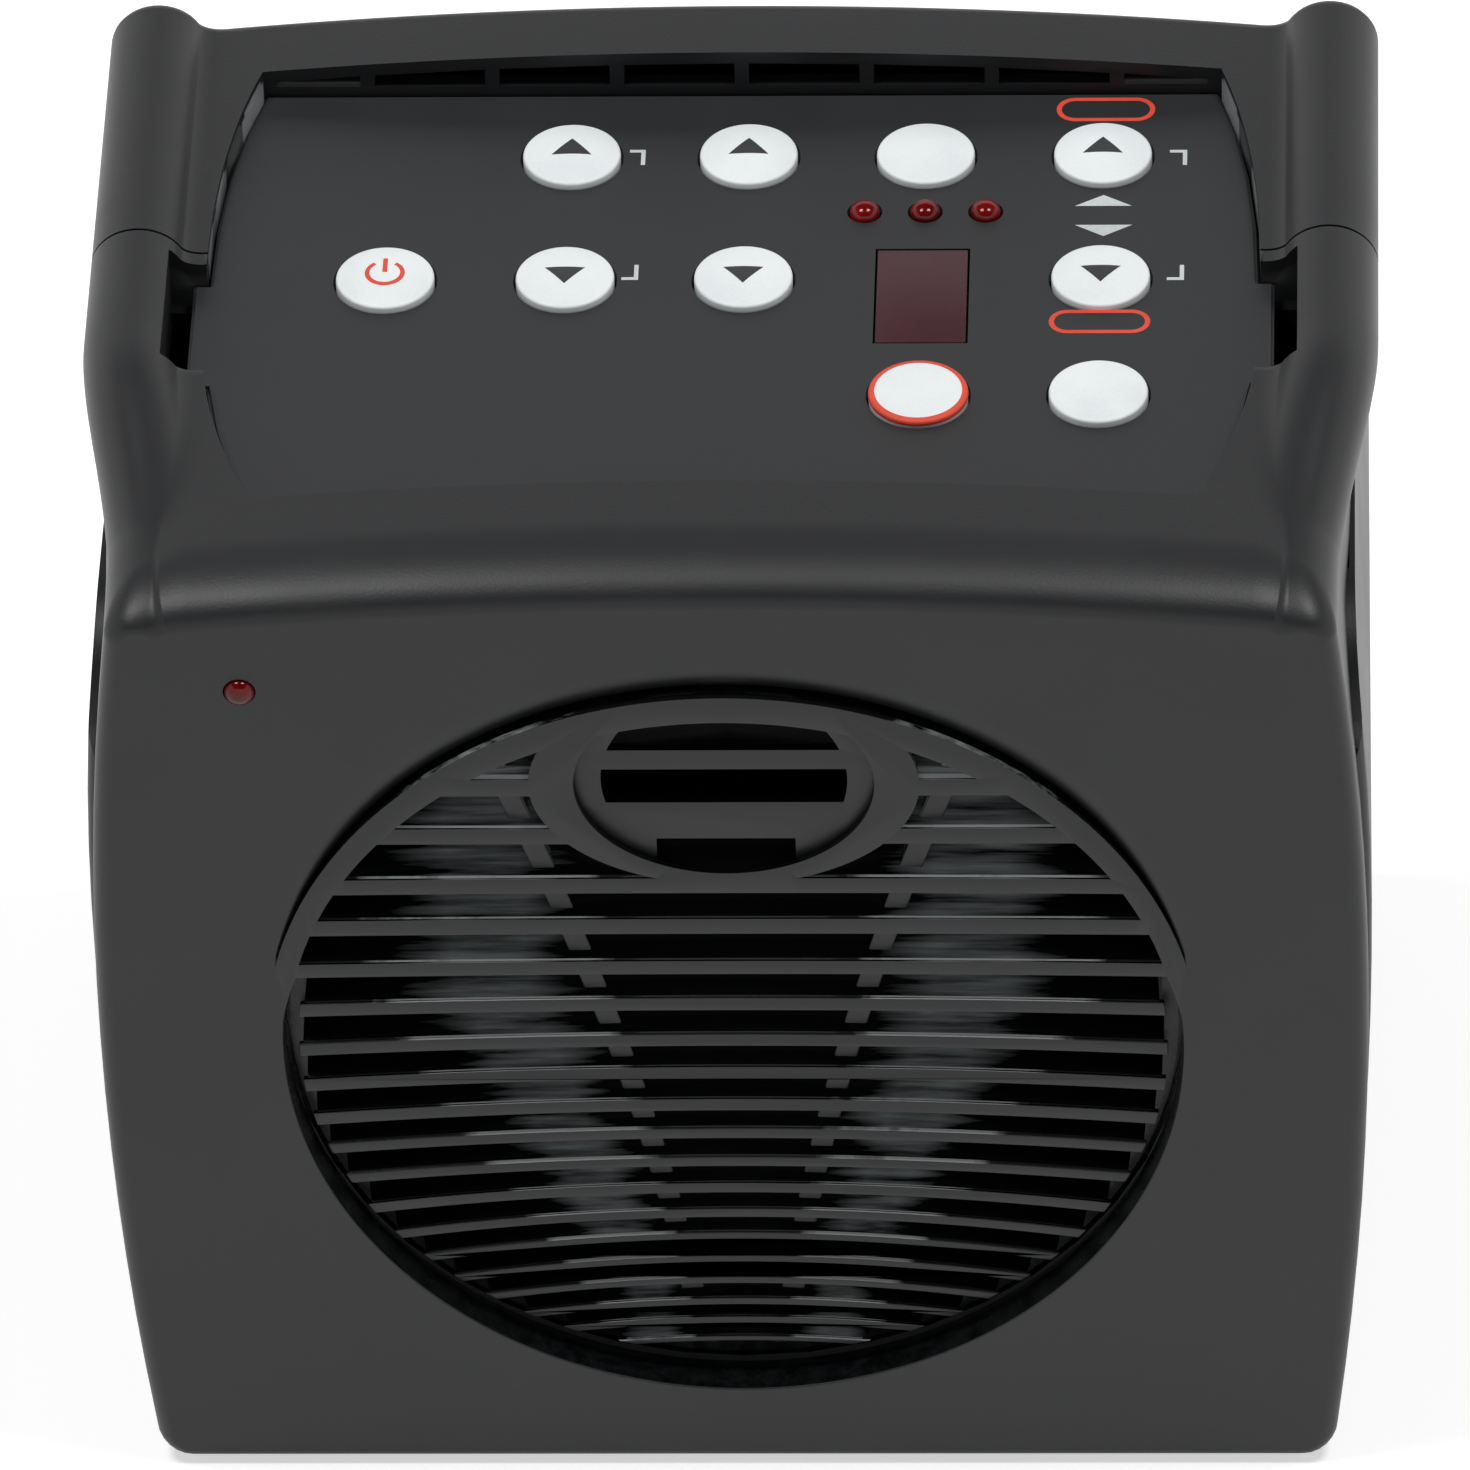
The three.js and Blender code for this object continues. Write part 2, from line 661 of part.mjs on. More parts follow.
function rearHousing() {
  let shell = shellOf(rearForm, rearCavity).subtract(rearRegion);
  shell = shell.add(extrude('y',
    rectangle(-doorHalf - bayWall, doorLow - bayWall, doorHalf + bayWall, bayTop),
    bayFront - bayWall, innerRear));
  shell = shell.subtract(extrude('y', rectangle(-bayHalf, bayLow, bayHalf, bayHigh),
    bayFront, rearY + overrun));
  shell = shell.subtract(extrude('y',
    roundedRectangle(-doorHalf, doorLow, doorHalf, doorHigh, doorCorner + doorClearance),
    rearY - doorThickness - seatGap, rearY + overrun));
  for (const [x, z] of housingScrewSpots) {
    shell = shell.add(post(x, z, bossRadius, bossSplit, innerRear));
  }
  for (const [x, y] of mainPostSpots) {
    shell = shell.add(extrude('z', circle(x, y, mainPostRadius, postSides), bayTop - seatGap, mainBottom));
  }
  for (const [x, z] of housingScrewSpots) {
    shell = shell.subtract(post(x, z, bossWell, bossSplit + bossFloor, rearY + overrun));
    shell = shell.subtract(post(x, z, screwRadius + screwClearance,
      bossSplit - overrun, bossSplit + bossFloor + overrun));
  }
  const socketHoles = [[powerSocketX, powerSocketRadius], [audioSocketX, audioSocketRadius]];
  for (const [x, radius] of socketHoles) {
    shell = shell.subtract(post(x, socketZ, radius + socketClearance,
      innerRear - wall, rearY + overrun, roundSides));
  }
  for (const [x, y] of footSpots) {
    shell = shell.subtract(extrude('z', circle(x, y, footRadius + screwClearance, roundSides),
      -overrun, footSeat + seatGap));
  }
  return shell.subtract(ventCuts());
}

// Slots in the opening's rear wall; near the sides they stop short of the falling crown
function ventCuts() {
  const [front, back] = [openingRear - overrun, openingRear + skirtWall + overrun];
  const [low, high] = [panelTop + ventLift, panelTop + ventLift + ventHeight];
  const limit = openingRearHalf - ventRib;
  let cuts;
  for (let i = 0; i < ventCount; i += 1) {
    const middle = (i - (ventCount - 1) / 2) * ventPitch;
    const left = Math.max(-limit, middle - (ventPitch - ventRib) / 2);
    const right = Math.min(limit, middle + (ventPitch - ventRib) / 2);
    const cut = extrude('y', rectangle(left, low, right, high), front, back);
    cuts = cuts ? cuts.add(cut) : cut;
  }
  const cover = [front, back].map((y) => (
    offset(sectionAt(rearY, true), -ventRib).map(([x, z]) => [x, y, z])));
  return cuts.intersect(loft(cover));
}

function batteryDoor() {
  const edge = doorHigh - doorClearance;
  let door = extrude('y', roundedRectangle(-doorHalf + doorClearance, doorLow + doorClearance,
    doorHalf - doorClearance, edge, doorCorner), rearY - doorThickness, rearY);
  for (const side of [-1, 1]) {
    const [a, b] = [side * latchHalf, side * (latchHalf + latchSlit)];
    door = door.subtract(extrude('y',
      rectangle(Math.min(a, b), edge - latchLength, Math.max(a, b), edge + overrun),
      rearY - doorThickness - overrun, rearY + overrun));
  }
  for (let i = 0; i < gripCount; i += 1) {
    const z = edge - gripPitch * (i + 1);
    door = door.subtract(extrude('y',
      rectangle(-latchHalf + gripPitch, z - gripPitch / 4, latchHalf - gripPitch, z + gripPitch / 4),
      rearY - gripDepth, rearY + overrun));
  }
  return door;
}

// A dry cell lies along X; side 1 points its nub to +X, and side -1 to -X
function cell(side, z) {
  const body = extrude('x', circle(cellY, z, cellRadius, roundSides),
    cellStart, cellStart + cellLength - cellNub);
  const nub = extrude('x', circle(cellY, z, cellNubRadius, smallSides),
    cellStart + cellLength - cellNub - seatGap, cellStart + cellLength);
  const solid = body.add(nub);
  return side > 0 ? solid : solid.mirror([1, 0, 0]);
}

// A contact strip stands against the bay's end wall, with a conical spring for each row
function contactStrip(side) {
  let strip = extrude('x', rectangle(cellY - contactHalf, cellHeights[0] - contactHalf,
    cellY + contactHalf, cellHeights[cellRows - 1] + contactHalf),
  contactInner, contactInner + contactThickness);
  for (const z of cellHeights) {
    const cone = new THREE.CylinderGeometry(springTipRadius, springRadius,
      springHeight - seatGap + contactThickness / 2, smallSides);
    cone.rotateZ(Math.PI / 2);
    cone.translate(contactInner + contactThickness / 2
      - (springHeight - seatGap + contactThickness / 2) / 2, cellY, z);
    strip = strip.add(solidOf(cone));
  }
  return side > 0 ? strip : strip.mirror([1, 0, 0]);
}

// The grille: a recessed ring with a flange behind, arched blades, two ribs and the badge seat
const bladeFront = faceY + grilleRecess;
const ringOuter = grilleRadius - grilleClearance;
const ringInner = ringOuter - grilleBand;

function bladeRows() {
  const rows = [];
  let height = bladeTop;
  let pitch = bladeGap;
  for (let i = 0; i < bladeCount; i += 1) {
    const low = Math.max(0, (i - bladeStraight) / (bladeCount - 1 - bladeStraight));
    rows.push({
      height, thickness: bladeThicknessShare * pitch, arch: (low * mix(0.45, 1, low)) / bladeArchRadius,
    });
    height -= pitch;
    pitch *= bladeCloserShare;
  }
  return rows;
}

function blade({ height, thickness, arch }) {
  const reach = Math.sqrt(Math.max(0, ringOuter ** 2 - height ** 2));
  const steps = arch > 0 ? 4 : 1;
  const line = Array.from({ length: steps + 1 }, (_, k) => {
    const x = mix(-reach, reach, k / steps);
    return [x, grilleHeight + height - (arch * x * x) / 2];
  });
  const upper = line.map(([x, z]) => [x, z + thickness / 2]);
  const lower = line.map(([x, z]) => [x, z - thickness / 2]).reverse();
  return extrude('y', [...upper, ...lower], bladeFront, bladeBack);
}

function grilleRib(side) {
  const slope = ribSpread / (ribTop + ribMeet);
  const top = grilleRadius;
  const bottom = -grilleRadius;
  const xAt = (h) => side * slope * (h + ribMeet);
  return extrude('y', [
    [xAt(bottom) - ribWidth / 2, grilleHeight + bottom], [xAt(bottom) + ribWidth / 2, grilleHeight + bottom],
    [xAt(top) + ribWidth / 2, grilleHeight + top], [xAt(top) - ribWidth / 2, grilleHeight + top],
  ], bladeFront + ribSetback, bladeBack);
}

function speakerGrille() {
  const badgeZ = grilleHeight + badgeHeight;
  let inner = grilleRib(-1).add(grilleRib(1));
  for (const row of bladeRows()) inner = inner.add(blade(row));
  const badgeSides = 22;
  const outer = ellipse(0, badgeZ, badgeHalfWidth, badgeHalfHeight, badgeSides);
  const seat = ellipse(0, badgeZ, badgeSeatHalfWidth, badgeSeatHalfHeight, badgeSides);
  inner = inner.subtract(extrude('y', outer, bladeFront - overrun, bladeBack + overrun));
  inner = inner.add(extrude('y', outer, bladeFront, bladeBack, [[...seat].reverse()]));
  let floor = extrude('y', offset(seat, seatGap), bladeFront + badgeSeatDepth,
    bladeFront + badgeSeatDepth + badgeSeatThickness);
  const upper = badgeZ + badgeSlotUp;
  const slots = [[upper, badgeSlotHalf], [upper - badgeSlotPitch, badgeSlotHalf],
    [upper - badgeSlotPitch - badgeSlotStep, badgeSlotLowHalf]];
  for (const [z, half] of slots) {
    floor = floor.subtract(extrude('y', rectangle(-half, z - badgeSlotRise / 2,
      half, z + badgeSlotRise / 2), bladeFront, bladeBack));
  }
  inner = inner.add(floor);
  inner = inner.intersect(extrude('y', circle(0, grilleHeight, mix(ringInner, ringOuter, 0.5), grilleSides),
    bladeFront - overrun, bladeBack + overrun));
  const rim = revolve('y', [
    [ringInner, bladeFront], [ringOuter, bladeFront],
    [ringOuter, collarRear + grilleClearance],
    [grilleRadius + grilleFlange, collarRear + grilleClearance],
    [grilleRadius + grilleFlange, bladeBack], [ringInner, bladeBack], [ringInner, bladeFront],
  ], grilleSides, [0, grilleHeight]);
  return rim.add(inner);
}

// Loudspeaker, front to rear: gasket, cone with its rolled surround, pressed frame, magnet
const surroundFront = gasketFront + gasketThickness + seatGap;
const plateFront = surroundFront + coneThickness + seatGap;
const plateRear = plateFront + speakerPlate;
const basketRear = plateRear + basketLength;
const centre = [0, grilleHeight];

function speakerGasket() {
  return extrude('y', circle(0, grilleHeight, surroundOuter, coneSides), gasketFront,
    gasketFront + gasketThickness,
    [circle(0, grilleHeight, surroundOuter - gasketBand, coneSides).reverse()]);
}

function speakerCone() {
  const rollSteps = 2;
  const roll = Array.from({ length: rollSteps + 1 }, (_, i) => {
    const turn = (i / rollSteps) * Math.PI;
    return [surroundInner - (surroundRoll / 2) * (1 - Math.cos(turn)),
      surroundFront - surroundRise * Math.sin(turn)];
  });
  const rimInner = surroundInner - surroundRoll;
  const bowl = [0.45, 1].map((share) => [
    mix(rimInner, coneNeck, share), surroundFront + coneDepth * Math.sin(share * (Math.PI / 2))]);
  const front = [[surroundOuter, surroundFront], ...roll, ...bowl];
  const back = front.map(([r, y]) => [r, y + coneThickness]).reverse();
  return revolve('y', [...front, ...back, front[0]], coneSides, centre);
}

function dustCap() {
  const baseY = surroundFront + coneDepth - coneThickness - seatGap;
  const dome = [0, 0.4, 0.75, 1].map((share) => [
    capRadius * Math.cos(share * (Math.PI / 2)),
    baseY - capRise * Math.sin(share * (Math.PI / 2))]);
  return revolve('y', [[0, baseY], ...dome], roundSides, centre);
}

function voiceCoil() {
  const start = surroundFront + coneDepth + coneThickness + seatGap;
  return revolve('y', [
    [coneNeck, start], [coneNeck + coilWall, start], [coneNeck + coilWall, start + coilLength],
    [coneNeck, start + coilLength], [coneNeck, start],
  ], roundSides, centre);
}

function speakerFrame() {
  const [cx, cz] = centre;
  const hole = surroundInner;
  let frame = extrude('y', roundedRectangle(cx - speakerHalf, cz - speakerHalf, cx + speakerHalf,
    cz + speakerHalf, speakerCorner), plateFront, plateRear, [circle(cx, cz, hole, coneSides).reverse()]);
  const front = plateRear - speakerPlate / 2;
  let basket = revolve('y', [
    [basketRadius, front], [basketRadius, plateRear + basketWall],
    [basketNeck + basketWall, basketRear], [coneNeck + coilWall + coilClearance, basketRear],
    [coneNeck + coilWall + coilClearance, basketRear - basketWall], [basketNeck, basketRear - basketWall],
    [basketRadius - basketWall, plateRear], [basketRadius - basketWall, front], [basketRadius, front],
  ], coneSides, centre);
  for (let i = 0; i < basketWindows; i += 1) {
    const middle = (2 * Math.PI * i) / basketWindows;
    const spread = Math.PI / basketWindows / 1.6;
    const reach = basketRadius + overrun;
    const near = basketNeck + basketWall * 2;
    const wedge = [
      [near, middle - spread], [reach, middle - spread], [reach, middle + spread], [near, middle + spread],
    ].map(([r, turn]) => [cx + r * Math.cos(turn), cz + r * Math.sin(turn)]);
    basket = basket.subtract(extrude('y', wedge, plateRear + basketWall * 2, basketRear - basketWall * 2));
  }
  frame = frame.add(basket);
  for (const [x, z] of speakerScrewSpots) {
    frame = frame.subtract(post(x, z, speakerScrewRadius + screwClearance,
      plateFront - overrun, plateRear + overrun));
  }
  return frame;
}

function speakerMagnet() {
  const start = basketRear + seatGap;
  const end = start + polePlate + magnetLength + polePlate;
  const grooveInner = coneNeck - coilClearance;
  const grooveOuter = coneNeck + coilWall + coilClearance;
  const grooveEnd = start + coilLength;
  return revolve('y', [
    [0, start], [grooveInner, start], [grooveInner, grooveEnd], [grooveOuter, grooveEnd],
    [grooveOuter, start], [poleRadius, start], [poleRadius, start + polePlate],
    [magnetRadius, start + polePlate], [magnetRadius, end - polePlate],
    [poleRadius, end - polePlate], [poleRadius, end], [0, end],
  ], roundSides, centre);
}

// A pan-head screw along Y: its head faces the rear
function screw([x, z], headY, shank, headRadius, headHeight, shankRadius) {
  return revolve('y', [
    [0, headY - shank], [shankRadius, headY - shank], [shankRadius, headY], [headRadius, headY],
    [headRadius, headY + headHeight * 0.6], [headRadius * 0.7, headY + headHeight],
    [0, headY + headHeight],
  ], postSides, [x, z]);
}

// Heights of what lies under the control panel
const keyFlangeTop = plateBottom - seatGap;
const keyBottom = keyFlangeTop - keyFlangeThickness;
const switchTop = keyBottom - keyTravel - seatGap;
const boardTop = switchTop - switchHeight;
const boardBottom = boardTop - boardThickness;

// Key places by column and row; the power key stands alone at the left
const keyColumns = [0, 1, 2, 3].map((i) => keyColumnFirst + i * keyColumnPitch);
const keyRows = [keyRowRear, keyRowRear - keyRowPitchRear, keyRowRear - keyRowPitchRear - keyRowPitchFront];
const keys = {
  key_volume_up: [keyColumns[0], keyRows[0]],
  key_volume_down: [keyColumns[0], keyRows[1]],
  key_tone_up: [keyColumns[1], keyRows[0]],
  key_tone_down: [keyColumns[1], keyRows[1]],
  key_string_select: [keyColumns[2], keyRows[0]],
  key_memory: [keyColumns[2], keyRows[2]],
  key_pitch_up: [keyColumns[3], keyRows[0]],
  key_pitch_down: [keyColumns[3], keyRows[1]],
  key_mode: [keyColumns[3], keyRows[2]],
  key_power: [powerColumn, keyRows[1]],
};
const ledSpots = [0, 1, 2].map((i) => [ledFirst + i * ledPitch, ledRow]);
const windowBox = [windowLeft, windowRear - windowLength, windowLeft + windowWidth, windowRear];
const grow = ([x0, y0, x1, y1], by) => [x0 - by, y0 - by, x1 + by, y1 + by];

function keyCap([x, y]) {
  const shoulder = panelTop + keyStand;
  const dome = [0.5].map((share) => [
    (keyRadius - keyEdge) * (1 - share), shoulder + keyDome * (1 - (1 - share) ** 2)]);
  return revolve('z', [
    [0, keyBottom], [keyRadius + keyFlange, keyBottom], [keyRadius + keyFlange, keyFlangeTop],
    [keyRadius, keyFlangeTop], [keyRadius, shoulder - keyEdge], [keyRadius - keyEdge, shoulder],
    ...dome, [0, shoulder + keyDome],
  ], roundSides, [x, y]);
}

function panelPiercings(from, to) {
  let cuts = extrude('z', rectangle(...grow(windowBox, windowClearance)), from, to);
  for (const [x, y] of Object.values(keys)) {
    cuts = cuts.add(extrude('z', circle(x, y, keyRadius + keyHoleClearance, roundSides), from, to));
  }
  for (const [x, y] of ledSpots) {
    cuts = cuts.add(extrude('z', circle(x, y, ledRadius + ledClearance, postSides), from, to));
  }
  return cuts;
}

const boardPostX = boardHalf - boardPostInset;

function controlPanel() {
  let plate = extrude('z', plateOutline, plateBottom, panelTop - overlayThickness);
  plate = plate.subtract(panelPiercings(plateBottom - overrun, panelTop + overrun));
  for (const side of [-1, 1]) {
    for (const y of [boardFront + boardPostFront, boardFront + boardPostFront + boardPostPitch]) {
      plate = plate.add(extrude('z', circle(side * boardPostX, y, boardPostRadius, postSides),
        boardTop + seatGap, plateBottom + plateThickness / 2));
    }
  }
  return plate;
}

function panelOverlay() {
  const sheet = extrude('z', offset(plateOutline, -plateClearance), panelTop - overlayThickness, panelTop);
  return sheet.subtract(panelPiercings(plateBottom, panelTop + overrun));
}

function controlBoard() {
  let board = extrude('z', rectangle(-boardHalf, boardFront, boardHalf, boardRear), boardBottom, boardTop);
  for (const [x, y] of Object.values(keys)) {
    board = board.add(extrude('z', circle(x, y, switchRadius, postSides), boardTop - seatGap, switchTop));
  }
  return board;
}

function panelLed([x, y]) {
  const apex = panelTop + ledStand;
  const spring = apex - ledRadius * 0.8;
  const dome = [0.35, 0.7].map((share) => [ledRadius * Math.cos(share * (Math.PI / 2)),
    spring + (apex - spring) * Math.sin(share * (Math.PI / 2))]);
  return revolve('z', [
    [0, boardTop], [ledRadius + ledFlange, boardTop], [ledRadius + ledFlange, boardTop + ledFlange * 2],
    [ledRadius, boardTop + ledFlange * 2], [ledRadius, spring], ...dome, [0, apex],
  ], smallSides, [x, y]);
}

function frontLed() {
  const rear = faceY + wall + ledSocketDepth;
  const apex = faceY - frontLedStand;
  const shoulder = apex + ledRadius * 0.8;
  const dome = [0.35, 0.7].map((share) => [ledRadius * Math.cos(share * (Math.PI / 2)),
    mix(shoulder, apex, Math.sin(share * (Math.PI / 2)))]);
  return revolve('y', [
    [0, rear + ledFlange * 2 + seatGap], [ledRadius + ledFlange, rear + ledFlange * 2 + seatGap],
    [ledRadius + ledFlange, rear + seatGap], [ledRadius, rear + seatGap], [ledRadius, shoulder],
    ...dome, [0, apex],
  ], smallSides, [frontLedX, frontLedHeight]);
}

function socket(x, radius, bore, pin) {
  const front = socketRear - socketLength;
  let body = extrude('y', rectangle(x - radius, mainTop, x + radius, socketZ), front, mainRear);
  body = body.add(post(x, socketZ, radius, front, socketRear, roundSides));
  body = body.subtract(post(x, socketZ, bore, socketRear - socketBoreDepth, socketRear + overrun));
  return pin > 0 ? body.add(post(x, socketZ, pin, front + wall / 2, socketRear - wall)) : body;
}

function mainBoard() {
  let board = extrude('z', rectangle(-mainBoardHalf, mainFront, mainBoardHalf, mainRear),
    mainBottom, mainTop);
  for (const x of [mainFront - mainRear, 0].map((spread) => mainBoardHalf / 2 + spread / 2)) {
    board = board.add(extrude('z', rectangle(x - chipHalf, mainFront + chipHalf / 2,
      x + chipHalf, mainFront + chipHalf * 2), mainTop - seatGap, mainTop + chipHeight));
  }
  return board;
}

function rubberFoot([x, y]) {
  return revolve('z', [
    [0, -footStand], [footRadius - footStand, -footStand], [footRadius, 0],
    [footRadius, footSeat], [0, footSeat],
  ], roundSides, [x, y]);
}

// Materials: colour, roughness and metalness of each real finish
function finish(color, roughness, metalness = 0) {
  return new THREE.MeshStandardMaterial({ color, roughness, metalness });
}

const finishes = {
  housing: () => finish('#3a3b3d', 0.62),
  grille: () => finish('#333436', 0.5),
  overlay: () => finish('#2b2c2e', 0.45),
  key: () => finish('#eef4f5', 0.4),
  lens: () => finish('#5a1518', 0.15),
  window: () => finish('#4f393c', 0.2),
  board: () => finish('#1f5a38', 0.55),
  steel: () => finish('#b9bcc0', 0.35, 1),
  zinc: () => finish('#8f9296', 0.4, 1),
  magnet: () => finish('#4a4a4d', 0.5, 0.6),
  paper: () => finish('#1c1c1d', 0.85),
  coil: () => finish('#b5713c', 0.4, 0.8),
  rubber: () => finish('#242424', 0.8),
  foam: () => finish('#2b2b2b', 0.95),
  cellWrap: () => finish('#6d7276', 0.35),
  socket: () => finish('#18181a', 0.4),
  module: () => finish('#d9d6cd', 0.5),
};

const tanpura = new THREE.Group();
tanpura.name = 'electronic_tanpura';
tanpura.position.set(0, frontLedStand / 2, footStand);

function place(name, solid, material) {
  const { vertProperties, triVerts } = solid.getMesh();
  const geometry = new THREE.BufferGeometry();
  geometry.setAttribute('position', new THREE.BufferAttribute(vertProperties, 3));
  geometry.setIndex(new THREE.BufferAttribute(triVerts, 1));
  geometry.computeVertexNormals();
  const mesh = new THREE.Mesh(geometry, material());
  mesh.name = name;
  tanpura.add(mesh);
}

place('front_housing', frontHousing(), finishes.housing);
place('rear_housing', rearHousing(), finishes.housing);
place('speaker_grille', speakerGrille(), finishes.grille);
place('control_panel', controlPanel(), finishes.housing);
place('panel_overlay', panelOverlay(), finishes.overlay);
for (const [name, spot] of Object.entries(keys)) place(name, keyCap(spot), finishes.key);
place('display_window', extrude('z', rectangle(...windowBox), panelTop - windowThickness, panelTop),
  finishes.window);
place('display_module', extrude('z', rectangle(...windowBox), boardTop,
  panelTop - windowThickness - seatGap), finishes.module);
ledSpots.forEach((spot, i) => place(`panel_led_${i + 1}`, panelLed(spot), finishes.lens));
place('control_board', controlBoard(), finishes.board);
place('front_led', frontLed(), finishes.lens);

place('speaker_gasket', speakerGasket(), finishes.foam);
place('speaker_cone', speakerCone(), finishes.paper);
place('dust_cap', dustCap(), finishes.paper);
place('voice_coil', voiceCoil(), finishes.coil);
place('speaker_frame', speakerFrame(), finishes.zinc);
place('speaker_magnet', speakerMagnet(), finishes.magnet);
speakerScrewSpots.forEach((spot, i) => place(`speaker_screw_${i + 1}`,
  screw(spot, plateRear + seatGap, speakerPilotDepth, speakerScrewHead, speakerScrewHeadHeight,
    speakerScrewRadius), finishes.steel));

place('battery_door', batteryDoor(), finishes.housing);
cellHeights.forEach((z, i) => {
  place(`dry_cell_left_${i + 1}`, cell(-1, z), finishes.cellWrap);
  place(`dry_cell_right_${i + 1}`, cell(1, z), finishes.cellWrap);
});
place('battery_contact_left', contactStrip(-1), finishes.steel);
place('battery_contact_right', contactStrip(1), finishes.steel);
place('main_board', mainBoard(), finishes.board);
place('power_socket', socket(powerSocketX, powerSocketRadius, powerBore, powerPin), finishes.socket);
place('audio_socket', socket(audioSocketX, audioSocketRadius, audioBore, 0), finishes.socket);
housingScrewSpots.forEach((spot, i) => place(`housing_screw_${i + 1}`,
  screw(spot, bossSplit + bossFloor + seatGap, bossFloor + screwPilotDepth, screwHead,
    screwHeadHeight, screwRadius), finishes.steel));
footSpots.forEach((spot, i) => place(`rubber_foot_${i + 1}`, rubberFoot(spot), finishes.rubber));

export default tanpura;
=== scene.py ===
import json
import math
import bpy
from mathutils import Matrix, Vector


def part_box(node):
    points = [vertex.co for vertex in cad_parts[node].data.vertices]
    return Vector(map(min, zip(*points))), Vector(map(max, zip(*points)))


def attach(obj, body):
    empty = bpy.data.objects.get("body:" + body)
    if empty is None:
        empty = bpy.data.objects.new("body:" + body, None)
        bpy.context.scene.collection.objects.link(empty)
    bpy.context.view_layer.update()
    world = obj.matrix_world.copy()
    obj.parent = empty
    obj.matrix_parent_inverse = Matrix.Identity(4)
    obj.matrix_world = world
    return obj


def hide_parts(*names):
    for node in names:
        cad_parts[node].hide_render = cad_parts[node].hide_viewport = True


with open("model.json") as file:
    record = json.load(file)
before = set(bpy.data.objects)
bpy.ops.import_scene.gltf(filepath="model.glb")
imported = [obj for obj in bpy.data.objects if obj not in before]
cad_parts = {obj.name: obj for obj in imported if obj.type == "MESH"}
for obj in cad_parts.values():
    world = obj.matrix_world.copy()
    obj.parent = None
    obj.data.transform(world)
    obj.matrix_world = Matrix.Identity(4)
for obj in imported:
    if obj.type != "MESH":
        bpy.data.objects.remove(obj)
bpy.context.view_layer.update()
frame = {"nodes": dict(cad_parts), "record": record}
mm = 0.001
# how near points are welded, in mm; how flat joined faces are, in degrees; how square a wall's normal is
tolerance = {"weld": 0.002, "cadWeld": 0.004, "flat": 0.2, "sliver": 0.01, "square": 0.9999}
print("frame loaded")


# small helpers: picking, placing and finishing a piece

def pick(*objs):
    bpy.ops.object.select_all(action="DESELECT")
    for obj in objs:
        obj.select_set(True)
    bpy.context.view_layer.objects.active = objs[0]
    return objs[0]


def named(name):
    obj = bpy.context.object
    obj.name = name
    obj.data.name = name
    return obj


def settle(obj):  # place, turn and size go into the mesh, so the object sits at the origin
    pick(obj)
    bpy.ops.object.transform_apply(location=True, rotation=True, scale=True)
    return obj


def applyAll(obj):
    pick(obj)
    for modifier in list(obj.modifiers):
        bpy.ops.object.modifier_apply(modifier=modifier.name)
    return obj


def editing(obj):  # edit mode, with all of the mesh selected
    pick(obj)
    bpy.ops.object.mode_set(mode="EDIT")
    bpy.ops.mesh.select_all(action="SELECT")


def edited(obj):
    bpy.ops.object.mode_set(mode="OBJECT")
    return obj


def outwards(obj):
    editing(obj)
    bpy.ops.mesh.remove_doubles(threshold=tolerance["weld"] * mm)
    bpy.ops.mesh.normals_make_consistent(inside=False)
    return edited(obj)


def linked(name, mesh):
    obj = bpy.data.objects.new(name, mesh)
    bpy.context.collection.objects.link(obj)
    return obj


def drawnMesh(name, points, edges, faces):
    mesh = bpy.data.meshes.new(name)
    mesh.from_pydata(points, edges, faces)
    return linked(name, mesh)


def smooth(obj, angle=40):
    pick(obj)
    bpy.ops.object.shade_smooth_by_angle(angle=math.radians(angle))
    return obj


def bevel(obj, width, segments=2, angle=40):
    edge = obj.modifiers.new("edge", "BEVEL")
    edge.width = width * mm
    edge.segments = segments
    edge.limit_method = "ANGLE"
    edge.angle_limit = math.radians(angle)
    return applyAll(obj)


def cut(obj, cutter, operation="DIFFERENCE"):
    tool = obj.modifiers.new("cut", "BOOLEAN")
    tool.operation = operation
    tool.solver = "EXACT"
    tool.object = cutter
    applyAll(obj)
    bpy.data.objects.remove(cutter, do_unlink=True)
    return obj


def within(obj, limits):  # what the two solids share
    return cut(obj, limits, "INTERSECT")


def joined(name, objs):
    pick(*objs)
    if len(objs) > 1:
        bpy.ops.object.join()
    return named(name)


def copyOf(node, name):  # a merged copy of a CAD node, which may then be cut and bevelled
    mesh = frame["nodes"][node].data.copy()
    obj = linked(name, mesh)
    mesh.name = name
    mesh.materials.clear()
    editing(obj)
    bpy.ops.mesh.remove_doubles(threshold=tolerance["cadWeld"] * mm)
    bpy.ops.mesh.dissolve_limited(angle_limit=math.radians(tolerance["flat"]))
    return edited(obj)


def rod(name, radius, low, high, at, sides=96, axis="Z"):  # a cylinder between two places on its axis
    turn = {"Z": (0, 0, 0), "Y": (math.pi / 2, 0, 0)}[axis]
    middle = {"Z": (at[0], at[1], (low + high) / 2), "Y": (at[0], (low + high) / 2, at[1])}[axis]
    bpy.ops.mesh.primitive_cylinder_add(vertices=sides, radius=radius, depth=high - low,
                                        location=middle, rotation=turn)
    return settle(named(name))


def block(name, low, high):
    low, high = Vector(low), Vector(high)
    bpy.ops.mesh.primitive_cube_add(size=1, location=(low + high) / 2, scale=high - low)
    return settle(named(name))


